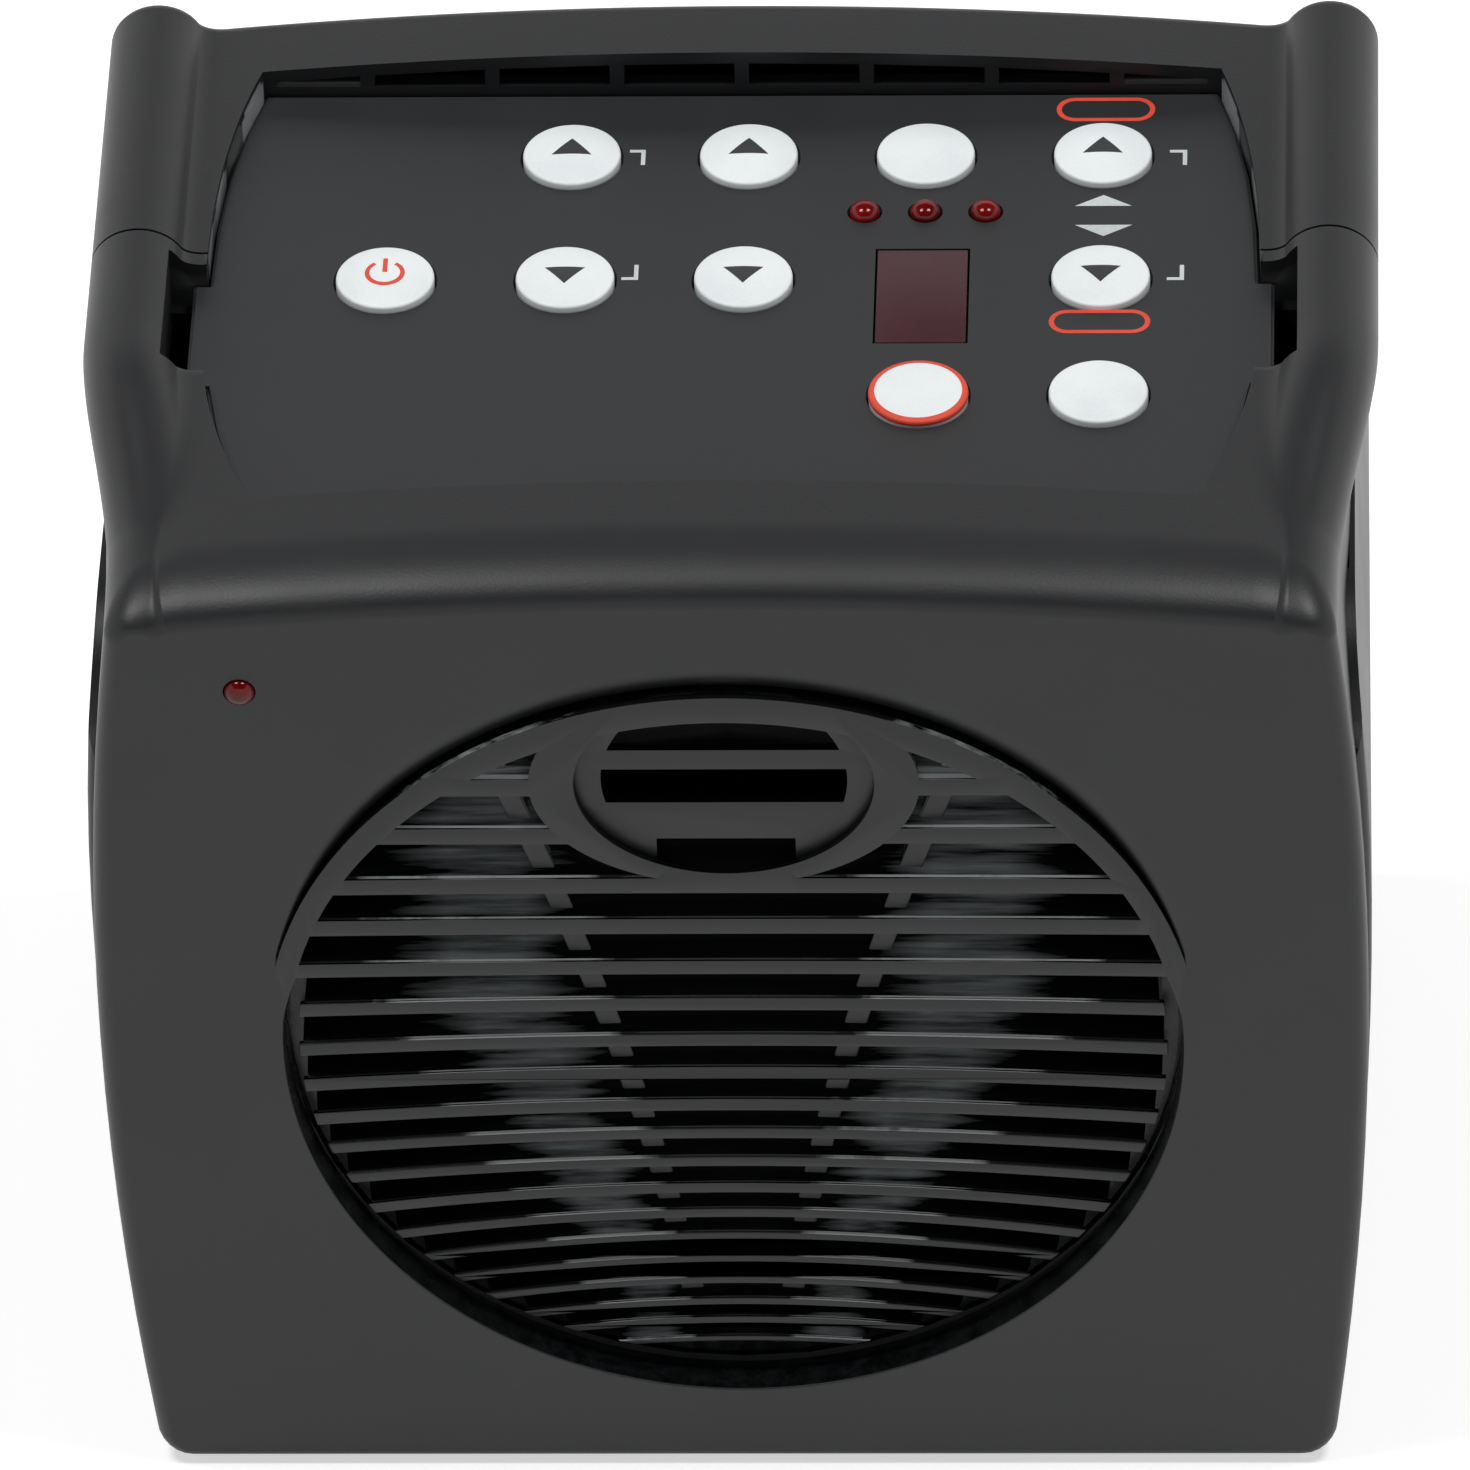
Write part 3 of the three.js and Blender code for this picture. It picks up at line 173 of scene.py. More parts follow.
def spun(name, profile, at, axis="Z", steps=96):  # a [radius, height] profile spun round an upright axis
    points = [(r, 0, h) for r, h in profile]
    obj = drawnMesh(name, points, [(i, i + 1) for i in range(len(points) - 1)], [])
    editing(obj)
    bpy.ops.mesh.spin(steps=steps, angle=2 * math.pi, center=(0, 0, 0), axis=(0, 0, 1))
    outwards(edited(obj))
    if axis == "Y":
        obj.rotation_euler = (-math.pi / 2, 0, 0)
        obj.location = (at[0], 0, at[1])
    else:
        obj.location = (at[0], at[1], 0)
    return settle(obj)


# materials

def linear(text):  # an sRGB hex value as the linear colour that a socket takes
    parts = [int(text[i:i + 2], 16) / 255 for i in (1, 3, 5)]
    return tuple([c / 12.92 if c <= 0.04045 else ((c + 0.055) / 1.055) ** 2.4 for c in parts] + [1])


def addNode(tree, kind, settings=(), links=()):
    node = tree.nodes.new(kind)
    for key, value in dict(settings).items():
        if isinstance(key, str) and hasattr(node, key):
            setattr(node, key, value)
        else:
            node.inputs[key].default_value = value
    for key, source in dict(links).items():
        tree.links.new(source, node.inputs[key])
    return node


def ramp(tree, source, low, high, stops):
    node = addNode(tree, "ShaderNodeValToRGB", links={"Fac": source})
    for element, place, colour in zip(node.color_ramp.elements, stops, (low, high)):
        element.position = place
        element.color = linear(colour)
    return node.outputs["Color"]


def maths(tree, operation, *sources):
    return addNode(tree, "ShaderNodeMath", {"operation": operation},
                   dict(enumerate(sources))).outputs["Value"]


def emptyMaterial(name):
    material = bpy.data.materials.new(name)
    material.use_nodes = True
    material.node_tree.nodes.clear()
    return material, material.node_tree


def shown(material, source):
    addNode(material.node_tree, "ShaderNodeOutputMaterial", links={"Surface": source})
    return material


def inBand(tree, strength, place, zone, zoneScale):
    # painted highlight: the light colour, which stands in for the lamps' reflections, shows in a band on
    # either side of the middle, nearer to it lower down
    at = addNode(tree, "ShaderNodeSeparateXYZ", links={0: place})
    aside = maths(tree, "ABSOLUTE", at.outputs["X"])
    bottom, above, least = zoneScale
    scale = addNode(tree, "ShaderNodeMapRange",
                    {"From Min": bottom * mm, "From Max": above * mm, "To Min": least},
                    {"Value": at.outputs["Z"]})
    spread = maths(tree, "DIVIDE", aside, scale.outputs["Result"])
    start, full, wane, end = (edge * mm for edge in zone)
    for none, whole in ((start, full), (end, wane)):
        edge = addNode(tree, "ShaderNodeMapRange", {"From Min": none, "From Max": whole}, {"Value": spread})
        strength = maths(tree, "MULTIPLY", strength, edge.outputs["Result"])
    return strength


def surface(name, low, high, rough, grain, extra={}):
    # low and high are the colour's dark and light; grain is (size in mm, depth in mm) of the surface.
    # drawn stretches the patches, stops are where the two colours stand on the ramp
    material, tree = emptyMaterial(name)
    place = addNode(tree, "ShaderNodeTexCoord").outputs["Object"]
    drawn = addNode(tree, "ShaderNodeVectorMath",
                    {"operation": "MULTIPLY", 1: extra.get("drawn", (1, 1, 1))},
                    {0: place}).outputs["Vector"]
    size, depth = grain
    fleck = extra.get("fleck", 0.5)
    fine = addNode(tree, "ShaderNodeTexNoise",
                   {"Scale": 1 / (size * mm), "Detail": 3.0, "Roughness": 0.6}, {"Vector": drawn})
    broad = addNode(tree, "ShaderNodeTexNoise",
                    {"Scale": 1 / (extra.get("patch", 9) * mm), "Detail": 5.0}, {"Vector": drawn})
    mixed = addNode(tree, "ShaderNodeMath", {"operation": "MULTIPLY_ADD", 1: fleck},
                    {0: fine.outputs["Fac"], 2: broad.outputs["Fac"]})
    strength = mixed.outputs["Value"]
    # a zone paints a highlight into the colour, in a band on each side of the middle
    if "zone" in extra:
        strength = inBand(tree, strength, place, extra["zone"], extra["zoneScale"])
    first, last = extra.get("stops", (0.36, 0.64))
    colour = ramp(tree, strength, low, high, (first + fleck / 2, last + fleck / 2))
    gloss = addNode(tree, "ShaderNodeMapRange",
                    {"From Min": 0.3, "From Max": 0.7, "To Min": rough[0], "To Max": rough[1]},
                    {"Value": broad.outputs["Fac"]})
    bump = addNode(tree, "ShaderNodeBump", {"Strength": extra.get("relief", 0.5), "Distance": depth * mm},
                   {"Height": fine.outputs["Fac"]})
    shader = addNode(tree, "ShaderNodeBsdfPrincipled", {
        "Metallic": extra.get("metal", 0.0), "IOR": 1.5,
        "Coat Weight": extra.get("coat", 0.0), "Coat Roughness": 0.08,
        "Specular IOR Level": extra.get("specular", 0.5),
    }, {"Base Color": colour, "Roughness": gloss.outputs["Result"], "Normal": bump.outputs["Normal"]})
    return shown(material, shader.outputs["BSDF"])


# each finish's dark and light colour, roughness, grain and extras
paints = {
    # ABS from a spark-eroded mould: a fine even grain that spreads highlights into soft bands. Its colour is
    # darker than it looks, because the gloss of the pale floor adds to it
    "mouldedAbs": ("#1d1e20", "#222324", (0.4, 0.45), (0.3, 0.03),
        dict(relief=0.55, specular=0.42, fleck=1.6, patch=14)),
    # the grille's mould has the same grain, a little finer
    "grilleAbs": ("#1d1e20", "#222324", (0.4, 0.45), (0.26, 0.02),
        dict(relief=0.45, specular=0.42, fleck=1.6, patch=10)),
    # the blades' upper sides come off a polished mould: near black, with a painted reflection of the lamps as
    # a pale streak at each side
    "polishedAbs": ("#0b0c0d", "#9ba1a3", (0.12, 0.2), (0.5, 0.02),
        dict(relief=0.4, patch=1.1, specular=0.3, drawn=(0.05, 1, 1), stops=(0.3, 0.78),
             zone=(5, 20, 27, 42), zoneScale=(19, 62, 0.38))),
    # the walls round the grille are polished too; their near-black colour is partly painted shade for the
    # narrow groove they lie in
    "wallAbs": ("#0b0c0d", "#1a1d1e", (0.16, 0.3), (0.5, 0.02), dict(relief=0.4, patch=2, specular=0.3)),
    # the blades' upper front edges carry a painted highlight, bright in places within a band at each side
    "paintedEdgeHighlight": ("#2a2c2d", "#c2c6c7", (0.24, 0.34), (0.5, 0.01),
        dict(relief=0.3, patch=4, specular=0.3, drawn=(0.3, 0.15, 0.15), stops=(0.18, 0.42),
             zone=(7, 15, 33, 42), zoneScale=(19, 62, 0.38))),
    # the side walls of the panel's recess: a pale grey painted on as the light that falls on them from the
    # side
    "paintedLitWall": ("#5a5c5e", "#646668", (0.4, 0.5), (0.3, 0.01), dict(fleck=1.6)),
    # printed polycarbonate sheet with a velvet face
    "velvetSheet": ("#28292b", "#2c2d2f", (0.46, 0.52), (0.22, 0.012),
        dict(relief=0.35, specular=0.4, fleck=1.6)),
    "inkWhite": ("#c2c9c9", "#d2d8d8", (0.5, 0.6), (0.3, 0.004)),
    "inkRed": ("#dc4429", "#e8503a", (0.5, 0.6), (0.3, 0.004)),
    "inkBlack": ("#2a2a2b", "#343435", (0.5, 0.6), (0.3, 0.004)),
    # white moulded key cap with a matt, slightly soft face
    "keyPlastic": ("#eaf0f1", "#f3f7f8", (0.38, 0.46), (0.25, 0.006), dict(relief=0.3)),
    # red diffused epoxy of the lamps
    "lampEpoxy": ("#3e0608", "#86100f", (0.08, 0.14), (1.2, 0.004), dict(specular=0.3, fleck=0.2)),
    # dark red filter window
    "filterWindow": ("#472c31", "#4c3035", (0.3, 0.38), (0.6, 0.003), dict(specular=0.12)),
    "boardEpoxy": ("#1a4f31", "#215e3c", (0.3, 0.42), (0.6, 0.01)),
    "zincPlate": ("#9fa3a7", "#b4b8bc", (0.28, 0.42), (0.5, 0.01), dict(metal=1.0)),
    "nickelPlate": ("#c4c6c8", "#d6d8da", (0.2, 0.3), (0.4, 0.006), dict(metal=1.0)),
    "ferrite": ("#3f3f42", "#515154", (0.5, 0.65), (0.4, 0.02)),
    "conePaper": ("#141415", "#1f1f20", (0.7, 0.85), (0.8, 0.06), dict(relief=0.7)),
    "copperWire": ("#a8632f", "#c27e46", (0.3, 0.4), (0.2, 0.02), dict(metal=0.9)),
    "ventFoam": ("#262626", "#303030", (0.85, 0.95), (0.6, 0.08), dict(relief=0.8)),
    "footRubber": ("#1d1d1e", "#272728", (0.7, 0.82), (0.4, 0.02)),
    "cellSleeve": ("#5f656a", "#6f757a", (0.25, 0.35), (1.5, 0.004), dict(coat=0.3)),
    "nylon": ("#141415", "#1c1c1d", (0.32, 0.42), (0.4, 0.01)),
    "moduleResin": ("#cfcbc1", "#dcd8ce", (0.45, 0.55), (0.5, 0.01)),
}
finishes = {name: surface(name, *values) for name, values in paints.items()}
slotFinishes = {
    "housing": "mouldedAbs", "grille": "grilleAbs", "overlay": "velvetSheet", "window": "filterWindow",
    "module": "moduleResin", "board": "boardEpoxy", "lens": "lampEpoxy", "foam": "ventFoam",
    "paper": "conePaper", "coil": "copperWire", "zinc": "zincPlate", "magnet": "ferrite",
    "steel": "nickelPlate", "socket": "nylon", "key": "keyPlastic", "cell_wrap": "cellSleeve",
    "rubber": "footRubber",
}


def dress(obj, *names):
    obj.data.materials.clear()
    for name in names:
        obj.data.materials.append(finishes[name])
    return obj


nodeSlots = {part["node"]: part["material_slot"] for part in frame["record"]["subparts"]}
for nodeName, nodeObject in frame["nodes"].items():
    dress(nodeObject, slotFinishes[nodeSlots[nodeName]])


def standIn(obj, body, *nodes):  # the piece rides on its body and stands for its nodes, which it hides
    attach(obj, body)
    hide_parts(*nodes)
    return obj


print("materials made")


# camera, floor, world and lights

shot = {
    "turn": 2.8331, "elevation": 39.7402, "roll": -1.9376, "distance": 1.70873, "side": 1470,
    "focalPixels": 17308.4, "sensor": 36.0, "shift": (-10.436, 6.6277), "target": (0, -0.0003, 0.0558),
}
turn, elevation, roll = (math.radians(shot[key]) for key in ("turn", "elevation", "roll"))
away = Vector((math.sin(turn) * math.cos(elevation), -math.cos(turn) * math.cos(elevation),
               math.sin(elevation)))
across = Vector((math.cos(turn), math.sin(turn), 0))
upright = away.cross(across)
rightward = math.cos(roll) * across + math.sin(roll) * upright
upward = -math.sin(roll) * across + math.cos(roll) * upright
lensData = bpy.data.cameras.new("camera")
lensData.sensor_width = shot["sensor"]
lensData.lens = shot["focalPixels"] / shot["side"] * shot["sensor"]
lensData.shift_x = shot["shift"][0] / shot["side"]
lensData.shift_y = shot["shift"][1] / shot["side"]
lensData.clip_end = 20
camera = linked("camera", lensData)
camera.matrix_world = Matrix.Translation(Vector(shot["target"]) + shot["distance"] * away) @ Matrix(
    (rightward, upward, away)).transposed().to_4x4()
bpy.context.scene.camera = camera
bpy.context.scene.view_settings.view_transform = "Standard"

studio = {
    "floor": 6.0, "floorColour": "#ececec", "floorDusk": "#b4b4b4", "floorLift": 0.55, "world": 0.5,
    # the dark ceiling's place, size and colour: the housing's glossy top mirrors it between the two lights
    "ceiling": ((0, -1.3, 5.0), (12.6, 13.7), "#141414"),
    # the place, aim, size and power of each of the two lights, which hang over the object's sides
    "left": ((-0.45, -0.06, 1.3), (0, 0, 0.05), 0.36, 7.4),
    "right": ((0.47, -0.04, 1.3), (0, 0, 0.05), 0.36, 7.0),
}


def softLight(name, at, aim, size, power):
    data = bpy.data.lights.new(name, "AREA")
    data.shape = "SQUARE"
    data.size = size
    data.energy = power
    obj = linked(name, data)
    obj.location = at
    obj.rotation_euler = (Vector(at) - Vector(aim)).to_track_quat("Z", "Y").to_euler()


for lightName in ("left", "right"):
    softLight(lightName, *studio[lightName])


def seenWhite(tree, lit, white):  # the plain white that the camera, gloss and clear parts see
    path = addNode(tree, "ShaderNodeLightPath")
    seen = path.outputs["Is Camera Ray"]
    for ray in ("Is Glossy Ray", "Is Transmission Ray"):
        seen = maths(tree, "MAXIMUM", seen, path.outputs[ray])
    return addNode(tree, "ShaderNodeMixShader", links={"Fac": seen, 1: lit, 2: white}).outputs["Shader"]


world = bpy.data.worlds.new("studio")
bpy.context.scene.world = world
world.use_nodes = True
world.node_tree.nodes.clear()
softSky, whiteSky = (addNode(world.node_tree, "ShaderNodeBackground",
                             {"Color": (1, 1, 1, 1), "Strength": strength}).outputs[0]
                     for strength in (studio["world"], 1.0))
addNode(world.node_tree, "ShaderNodeOutputWorld", links={
    "Surface": seenWhite(world.node_tree, softSky, whiteSky)})

bpy.ops.mesh.primitive_plane_add(size=studio["floor"])
floor = settle(named("floor"))
floorMatter, floorTree = emptyMaterial("paleFloor")
matt = addNode(floorTree, "ShaderNodeBsdfDiffuse", {"Color": linear(studio["floorColour"])})
dusk = addNode(floorTree, "ShaderNodeBsdfDiffuse", {"Color": linear(studio["floorDusk"])})
lift = addNode(floorTree, "ShaderNodeEmission", {"Strength": studio["floorLift"]})
lifted = addNode(floorTree, "ShaderNodeAddShader", links={0: matt.outputs[0], 1: lift.outputs[0]})
floor.data.materials.append(shown(floorMatter, seenWhite(floorTree, dusk.outputs[0], lifted.outputs[0])))

ceilingAt, ceilingSize, ceilingColour = studio["ceiling"]
bpy.ops.mesh.primitive_plane_add(size=1, location=ceilingAt)
ceiling = named("ceiling")
ceiling.scale = (*ceilingSize, 1)
settle(ceiling)
ceilingMatter, ceilingTree = emptyMaterial("darkPaint")
paint = addNode(ceilingTree, "ShaderNodeBsdfDiffuse", {"Color": linear(ceilingColour)})
ceiling.data.materials.append(shown(ceilingMatter, paint.outputs[0]))
print("studio made")


# where things lie, in metres of the shared frame

middle = {
    "grille": 0.0543, "face": -0.0448, "collarRear": -0.0388, "bladeBack": -0.0370,
    "panel": 0.1078, "panelShift": 0.00045,
}


def onPanel(x, y):  # a place on the printed panel, given in mm from its middle
    return x * mm, y * mm + middle["panelShift"]


def arc(centre, radius, first, last, steps):  # points of an arc, angles in degrees
    turns = [math.radians(first + (last - first) * i / steps) for i in range(steps + 1)]
    return [(centre[0] + radius * math.cos(t), centre[1] + radius * math.sin(t)) for t in turns]


def mix(a, b, t):
    return a + (b - a) * t


def curve(start, knee, end, steps):  # from start to end, drawn towards the knee
    shares = [i / steps for i in range(steps + 1)]
    return [tuple((1 - t) ** 2 * a + 2 * t * (1 - t) * b + t * t * c for a, b, c in zip(start, knee, end))
            for t in shares]


def roundedBox(x0, y0, x1, y1, radius, inset=0.0):
    points = []
    for cx, cy, first in ((x1 - radius, y1 - radius, 0), (x0 + radius, y1 - radius, 90),
                          (x0 + radius, y0 + radius, 180), (x1 - radius, y0 + radius, 270)):
        points += arc((cx, cy), radius - inset, first, first + 90, 8)
    return points


def prism(name, outline, low, high, axis="Z"):  # a solid over a flat outline, drawn in XY, XZ or YZ
    turned = {"Z": lambda u, v, w: (u, v, w), "Y": lambda u, v, w: (u, w, v),
              "X": lambda u, v, w: (w, u, v)}[axis]
    obj = drawnMesh(name, [turned(u, v, low) for u, v in outline], [], [list(range(len(outline)))])
    editing(obj)
    bpy.ops.mesh.extrude_region_move(TRANSFORM_OT_translate={"value": turned(0, 0, high - low)})
    return outwards(edited(obj))


# the housing's outer form, in mm of the part, finer than the solids: sections along Y, as outlines in XZ

form = {
    "half": 62.6, "depth": 90.5, "crest": 112, "crown": 500, "faceHalf": 61.5, "wide": 58, "faceTop": 3.9,
    "faceFoot": 3.6, "sideHalf": 61.85, "draft": 0.35, "sideWide": 67, "sideTop": 3.2, "sideFoot": 4.1,
    "rearFoot": 1.3, "corner": 3.5, "rearFillet": 1.6, "browFillet": 3.8, "browReach": 9.0, "sideFillet": 1.8,
    "footFillet": 1.0, "seamFillet": 1.2, "rail": 4.8, "rise": 3.7, "blend": 3.1, "fade": (8.3, 38.3),
    "waist": (4, 38), "under": 0.7, "lid": -41.45, "gap": 0.3, "seamTop": 8.2, "seamSide": 99, "sweep": 14,
    "shift": (0.45, 0.8), "skin": 1.1, "opening": 0.03, "railEnd": (90, 150), "knee": 0.3,
    # where the front part's even sections start, how many there are, and how far it runs past the seam
    "frontRun": (-33.2, 22), "overlap": 2,
    # steps of each part of a section, of the end fillets and of the seam's sweep
    "cornerSteps": 6, "wallSteps": 14, "railSteps": 26, "kneeSteps": 8, "frontSteps": 12, "rearSteps": 5,
    "sweepSteps": 16,
}


def smoothstep(value, low, high):
    t = min(1, max(0, (value - low) / (high - low)))
    return t * t * (3 - 2 * t)


def squared(value):
    return max(0, value) ** 2


def crownAt(x):
    return form["crest"] - x * x / (2 * form["crown"])


def faceAt(z):
    return (form["faceHalf"] - form["faceTop"] * squared((z - form["wide"]) / (form["crest"] - form["wide"]))
            - form["faceFoot"] * squared((form["wide"] - z) / form["wide"]))


def sideAt(z, depth):
    wide = form["sideWide"]
    return (form["sideHalf"] - form["draft"] * depth
            - form["sideTop"] * squared((z - wide) / (form["crest"] - wide))
            - mix(form["sideFoot"], form["rearFoot"], depth) * squared((wide - z) / wide))


def sectionAt(y, isRear):
    rail = 1 if isRear else 1 - smoothstep(-y, *form["fade"])
    waist = 0 if isRear else smoothstep(-y, *form["waist"])
    rear = form["depth"] / 2
    depth = min(1, max(0, (y - form["lid"]) / (rear - form["lid"])))
    radius, corner = form["rail"], form["corner"]

    def widthAt(z):
        return mix(faceAt(z), sideAt(z, depth), rail)

    railHeight = crownAt(form["half"] - radius) - radius + form["rise"] * rail
    railX = mix(form["half"], faceAt(railHeight), waist) - radius
    under = -form["under"] * rail * math.pi / 2
    top = railHeight + radius * math.sin(under)
    half = arc((widthAt(corner) - corner, corner), corner, -90, 0, form["cornerSteps"])
    shares = [i / form["wallSteps"] for i in range(1, form["wallSteps"])]
    half += [(widthAt(mix(corner, top, share)), mix(corner, top, share)) for share in shares]
    half += arc((railX, railHeight), radius, math.degrees(under), mix(*form["railEnd"], rail),
                form["railSteps"])
    endX, endZ = half[-1]
    crownX = endX - form["blend"]
    knee = (mix(endX, crownX, form["knee"]), crownAt(endX))
    half += curve((endX, endZ), knee, (crownX, crownAt(crownX)), form["kneeSteps"])[1:]
    half += [(crownX * (1 - share), crownAt(crownX * (1 - share))) for share in shares]
    return half + [(0, form["crest"])] + [(-x, z) for x, z in reversed(half)]


def cornerNormals(outline):
    normals = []
    for i, (x, z) in enumerate(outline):
        before = Vector((x, z)) - Vector(outline[i - 1])
        after = Vector(outline[(i + 1) % len(outline)]) - Vector((x, z))
        a, b = (Vector((edge.y, -edge.x)).normalized() for edge in (before, after))
        normals.append((a + b) / (1 + a.dot(b)))
    return normals


def ringAt(y, isRear, inset=0):
    outline = sectionAt(y, isRear)
    return [(x - n.x * inset, y, z - n.y * inset) for (x, z), n in zip(outline, cornerNormals(outline))]


def roundedEnd(endY, inward, radiusAt, deepAt, steps, isRear, inset=0):
    outline = sectionAt(endY, isRear)
    rings = []
    for k in range(steps + 1):
        turn = k / steps * math.pi / 2
        loop = []
        for (x, z), n in zip(outline, cornerNormals(outline)):
            shrink = radiusAt(n.y) * (1 - math.cos(turn)) + inset
            y = endY + inward * (deepAt(n.y) * (1 - math.sin(turn)) + inset)
            loop.append((x - n.x * shrink, y, z - n.y * shrink))
        rings.append(loop)
    return rings


def loft(name, loops, shift=(0, 0)):  # a solid through closed loops of (x, y, z) in mm
    shiftY, shiftZ = shift
    count = len(loops[0])
    points = [(x * mm, (y + shiftY) * mm, (z + shiftZ) * mm) for loop in loops for x, y, z in loop]
    faces = []
    for start in range(0, (len(loops) - 1) * count, count):
        for i in range(count):
            j = (i + 1) % count
            faces.append((start + i, start + j, start + count + j, start + count + i))
    faces += [list(range(count)), list(range(len(points) - count, len(points)))]
    return outwards(drawnMesh(name, points, [], faces))


def faceFillet(sideways, brow):
    return lambda nz: mix(sideways, brow if nz > 0 else form["footFillet"], nz * nz)


def frontForm(inset):
    inward, deep = (faceFillet(form["sideFillet"], form[key]) for key in ("browFillet", "browReach"))
    rings = roundedEnd(-form["depth"] / 2, 1, inward, deep, form["frontSteps"], False, inset)[::-1]
    first, steps = form["frontRun"]
    rings += [ringAt(mix(first, -form["waist"][0], i / steps), False, inset) for i in range(steps + 1)]
    rings.append(ringAt(form["seamTop"] + form["overlap"] + inset, False, inset))
    return loft("frontForm", rings, form["shift"])


def rearForm(inset):
    seam, rear = [(lambda nz, radius=form[key]: radius) for key in ("seamFillet", "rearFillet")]
    steps = form["rearSteps"]
    start = form["lid"] + form["gap"] - inset * 2
    rings = roundedEnd(start, 1, seam, seam, steps, True, inset)[::-1]
    rings += roundedEnd(form["depth"] / 2, -1, rear, rear, steps, True, inset)
    return loft("rearForm", rings, form["shift"])


# cutters run well past what they cut: these planes lie clear of the housing on each side
clear = {"ahead": -60, "below": -5, "above": 130, "aside": 0.07, "floor": 0.01, "cut": 0.004}


def around(at):
    return at - clear["cut"], at + clear["cut"]


def seamRegion(shift):  # all that lies in front of the seam between the two shells
    sweep = form["sweep"] - shift
    at = form["lid"] + form["sweep"], form["seamSide"] - form["sweep"]
    seamTop = form["seamTop"] + shift
    outline = [(clear["ahead"], clear["below"]), (form["lid"] + shift, clear["below"])]
    outline += arc(at, sweep, 180, 90, form["sweepSteps"])
    outline += [(seamTop, form["seamSide"] - shift), (seamTop, clear["above"]),
                (clear["ahead"], clear["above"])]
    shiftY, shiftZ = form["shift"]
    return prism("seamRegion", [((y + shiftY) * mm, (z + shiftZ) * mm) for y, z in outline],
                 -clear["aside"], clear["aside"], "X")


hole = {
    "rear": 36.7, "rearHalf": 47.2, "midHalf": 51.2, "front": -30.3, "frontHalf": 45.2, "notchHalf": 54.8,
    "notchRear": 6.6, "notchFront": -10, "neckHalf": 50.7,
    # where each side's curve is drawn to, as a share of its width and length
    "frontKnee": (0.8, 0.5), "rearKnee": 0.6, "steps": 16, "heights": (0.09, 0.13),
}
frontKnee = (mix(hole["frontHalf"], hole["neckHalf"], hole["frontKnee"][0]),
             mix(hole["front"], hole["notchFront"], hole["frontKnee"][1]))
rearKnee = (hole["midHalf"], mix(hole["notchRear"], hole["rear"], hole["rearKnee"]))
halfHole = curve((hole["frontHalf"], hole["front"]), frontKnee, (hole["neckHalf"], hole["notchFront"]),
                 hole["steps"])
halfHole += [(hole["notchHalf"], hole["notchFront"]), (hole["notchHalf"], hole["notchRear"])]
halfHole += curve((hole["midHalf"], hole["notchRear"]), rearKnee, (hole["rearHalf"], hole["rear"]),
                  hole["steps"])
wholeHole = halfHole + [(-x, y) for x, y in reversed(halfHole)]


def panelHole():
    outline = []
    for (x, y), n in zip(wholeHole, cornerNormals(wholeHole)):
        outline.append(onPanel(x - n.x * form["opening"], y - n.y * form["opening"]))
    return prism("panelHole", outline, *hole["heights"])


# moulded shells: a fine outer skin over the inner walls of the solids. The face sinks in a soft roll round
# the upper half of the speaker's ring, and meets the lower half of the opening in a crisp edge.

shell = {
    # the bevel's width, steps and least angle
    "edge": (0.22, 3, 50), "smoothBelow": 38, "coreInset": 0.55,
    # how much wider than each node's box its hole is, and the radius of the door's corners
    "lampRoom": -0.33, "screwRoom": 0.37, "footRoom": 0.27, "socketRoom": 0.27, "doorRoom": 0.28,
    "doorCorner": 2,
    # the recess walls that are painted pale as if lit from the side: heights over the panel, and distances
    # from the middle
    "recess": (-0.0002, 0.0016), "recessSide": (0.043, 0.0535), "upright": 0.3, "sideways": 0.5,
    # the walls of the opening in the face: radius, depth behind the face and how far they may lean
    "mouthRadius": 0.0468, "mouthDepth": (0.0002, 0.0063), "mouthLean": 0.35,
}
ring = {
    # half widths and half heights, in mm from the grille's middle
    "outer": (45.2, 44.6), "inner": (43.1, 41.5), "mouth": (43.6, 44.4), "gap": 0.12,
    # heights, as shares of the circle, over which the opening widens round the ring and its edge turns soft
    "meets": (0.13, 0.27), "rollFrom": (0.16, 0.75),
    # width and depth of the soft and of the crisp edge, in mm
    "roll": (3.5, 1.3), "crisp": (0.2, 0.18), "rollSteps": 12, "before": -3, "beyond": 8,
    "steps": 192, "collar": (42.0, 48.5), "collarDepth": (0.35, 4.9), "coreRoom": 48.2,
    "coreDepth": (-10, 4.2),
    # the ring leans by this slope from a height down, and stands proud of the face
    "slope": 0.0239, "top": 98.9, "proud": 0.85,
}


def onOval(halves, turn):  # the distance to an oval's edge
    return 1 / math.hypot(math.cos(turn) / halves[0], math.sin(turn) / halves[1])


def mouthRing(share, turn):  # the opening's edge: share 0 lies on the face, 1 at the inner wall
    high = math.sin(turn)
    low = ring["mouth"] if high < 0 else (ring["mouth"][0],) * 2
    upper = [half + ring["gap"] for half in ring["outer"]]
    radius = mix(onOval(low, turn), onOval(upper, turn), smoothstep(high, *ring["meets"]))
    soft = smoothstep(high, *ring["rollFrom"])
    wide, deep = (mix(a, b, soft) for a, b in zip(ring["crisp"], ring["roll"]))
    quarter = share * math.pi / 2
    return radius + wide * (1 - math.sin(quarter)), deep * (1 - math.cos(quarter))


def grilleHole():
    face, centre = middle["face"] / mm, middle["grille"] / mm
    turns = [2 * math.pi * i / ring["steps"] for i in range(ring["steps"])]
    rolled = [(i / ring["rollSteps"], 0) for i in range(ring["rollSteps"] + 1)]
    loops = []
    for share, drop in [(0, ring["before"])] + rolled + [(1, ring["beyond"])]:
        loop = []
        for turn in turns:
            radius, depth = mouthRing(share, turn)
            y = face + depth if drop == 0 else face + drop
            loop.append((radius * math.cos(turn), y, centre + radius * math.sin(turn)))
        loops.append(loop)
    return loft("mouthCutter", loops)


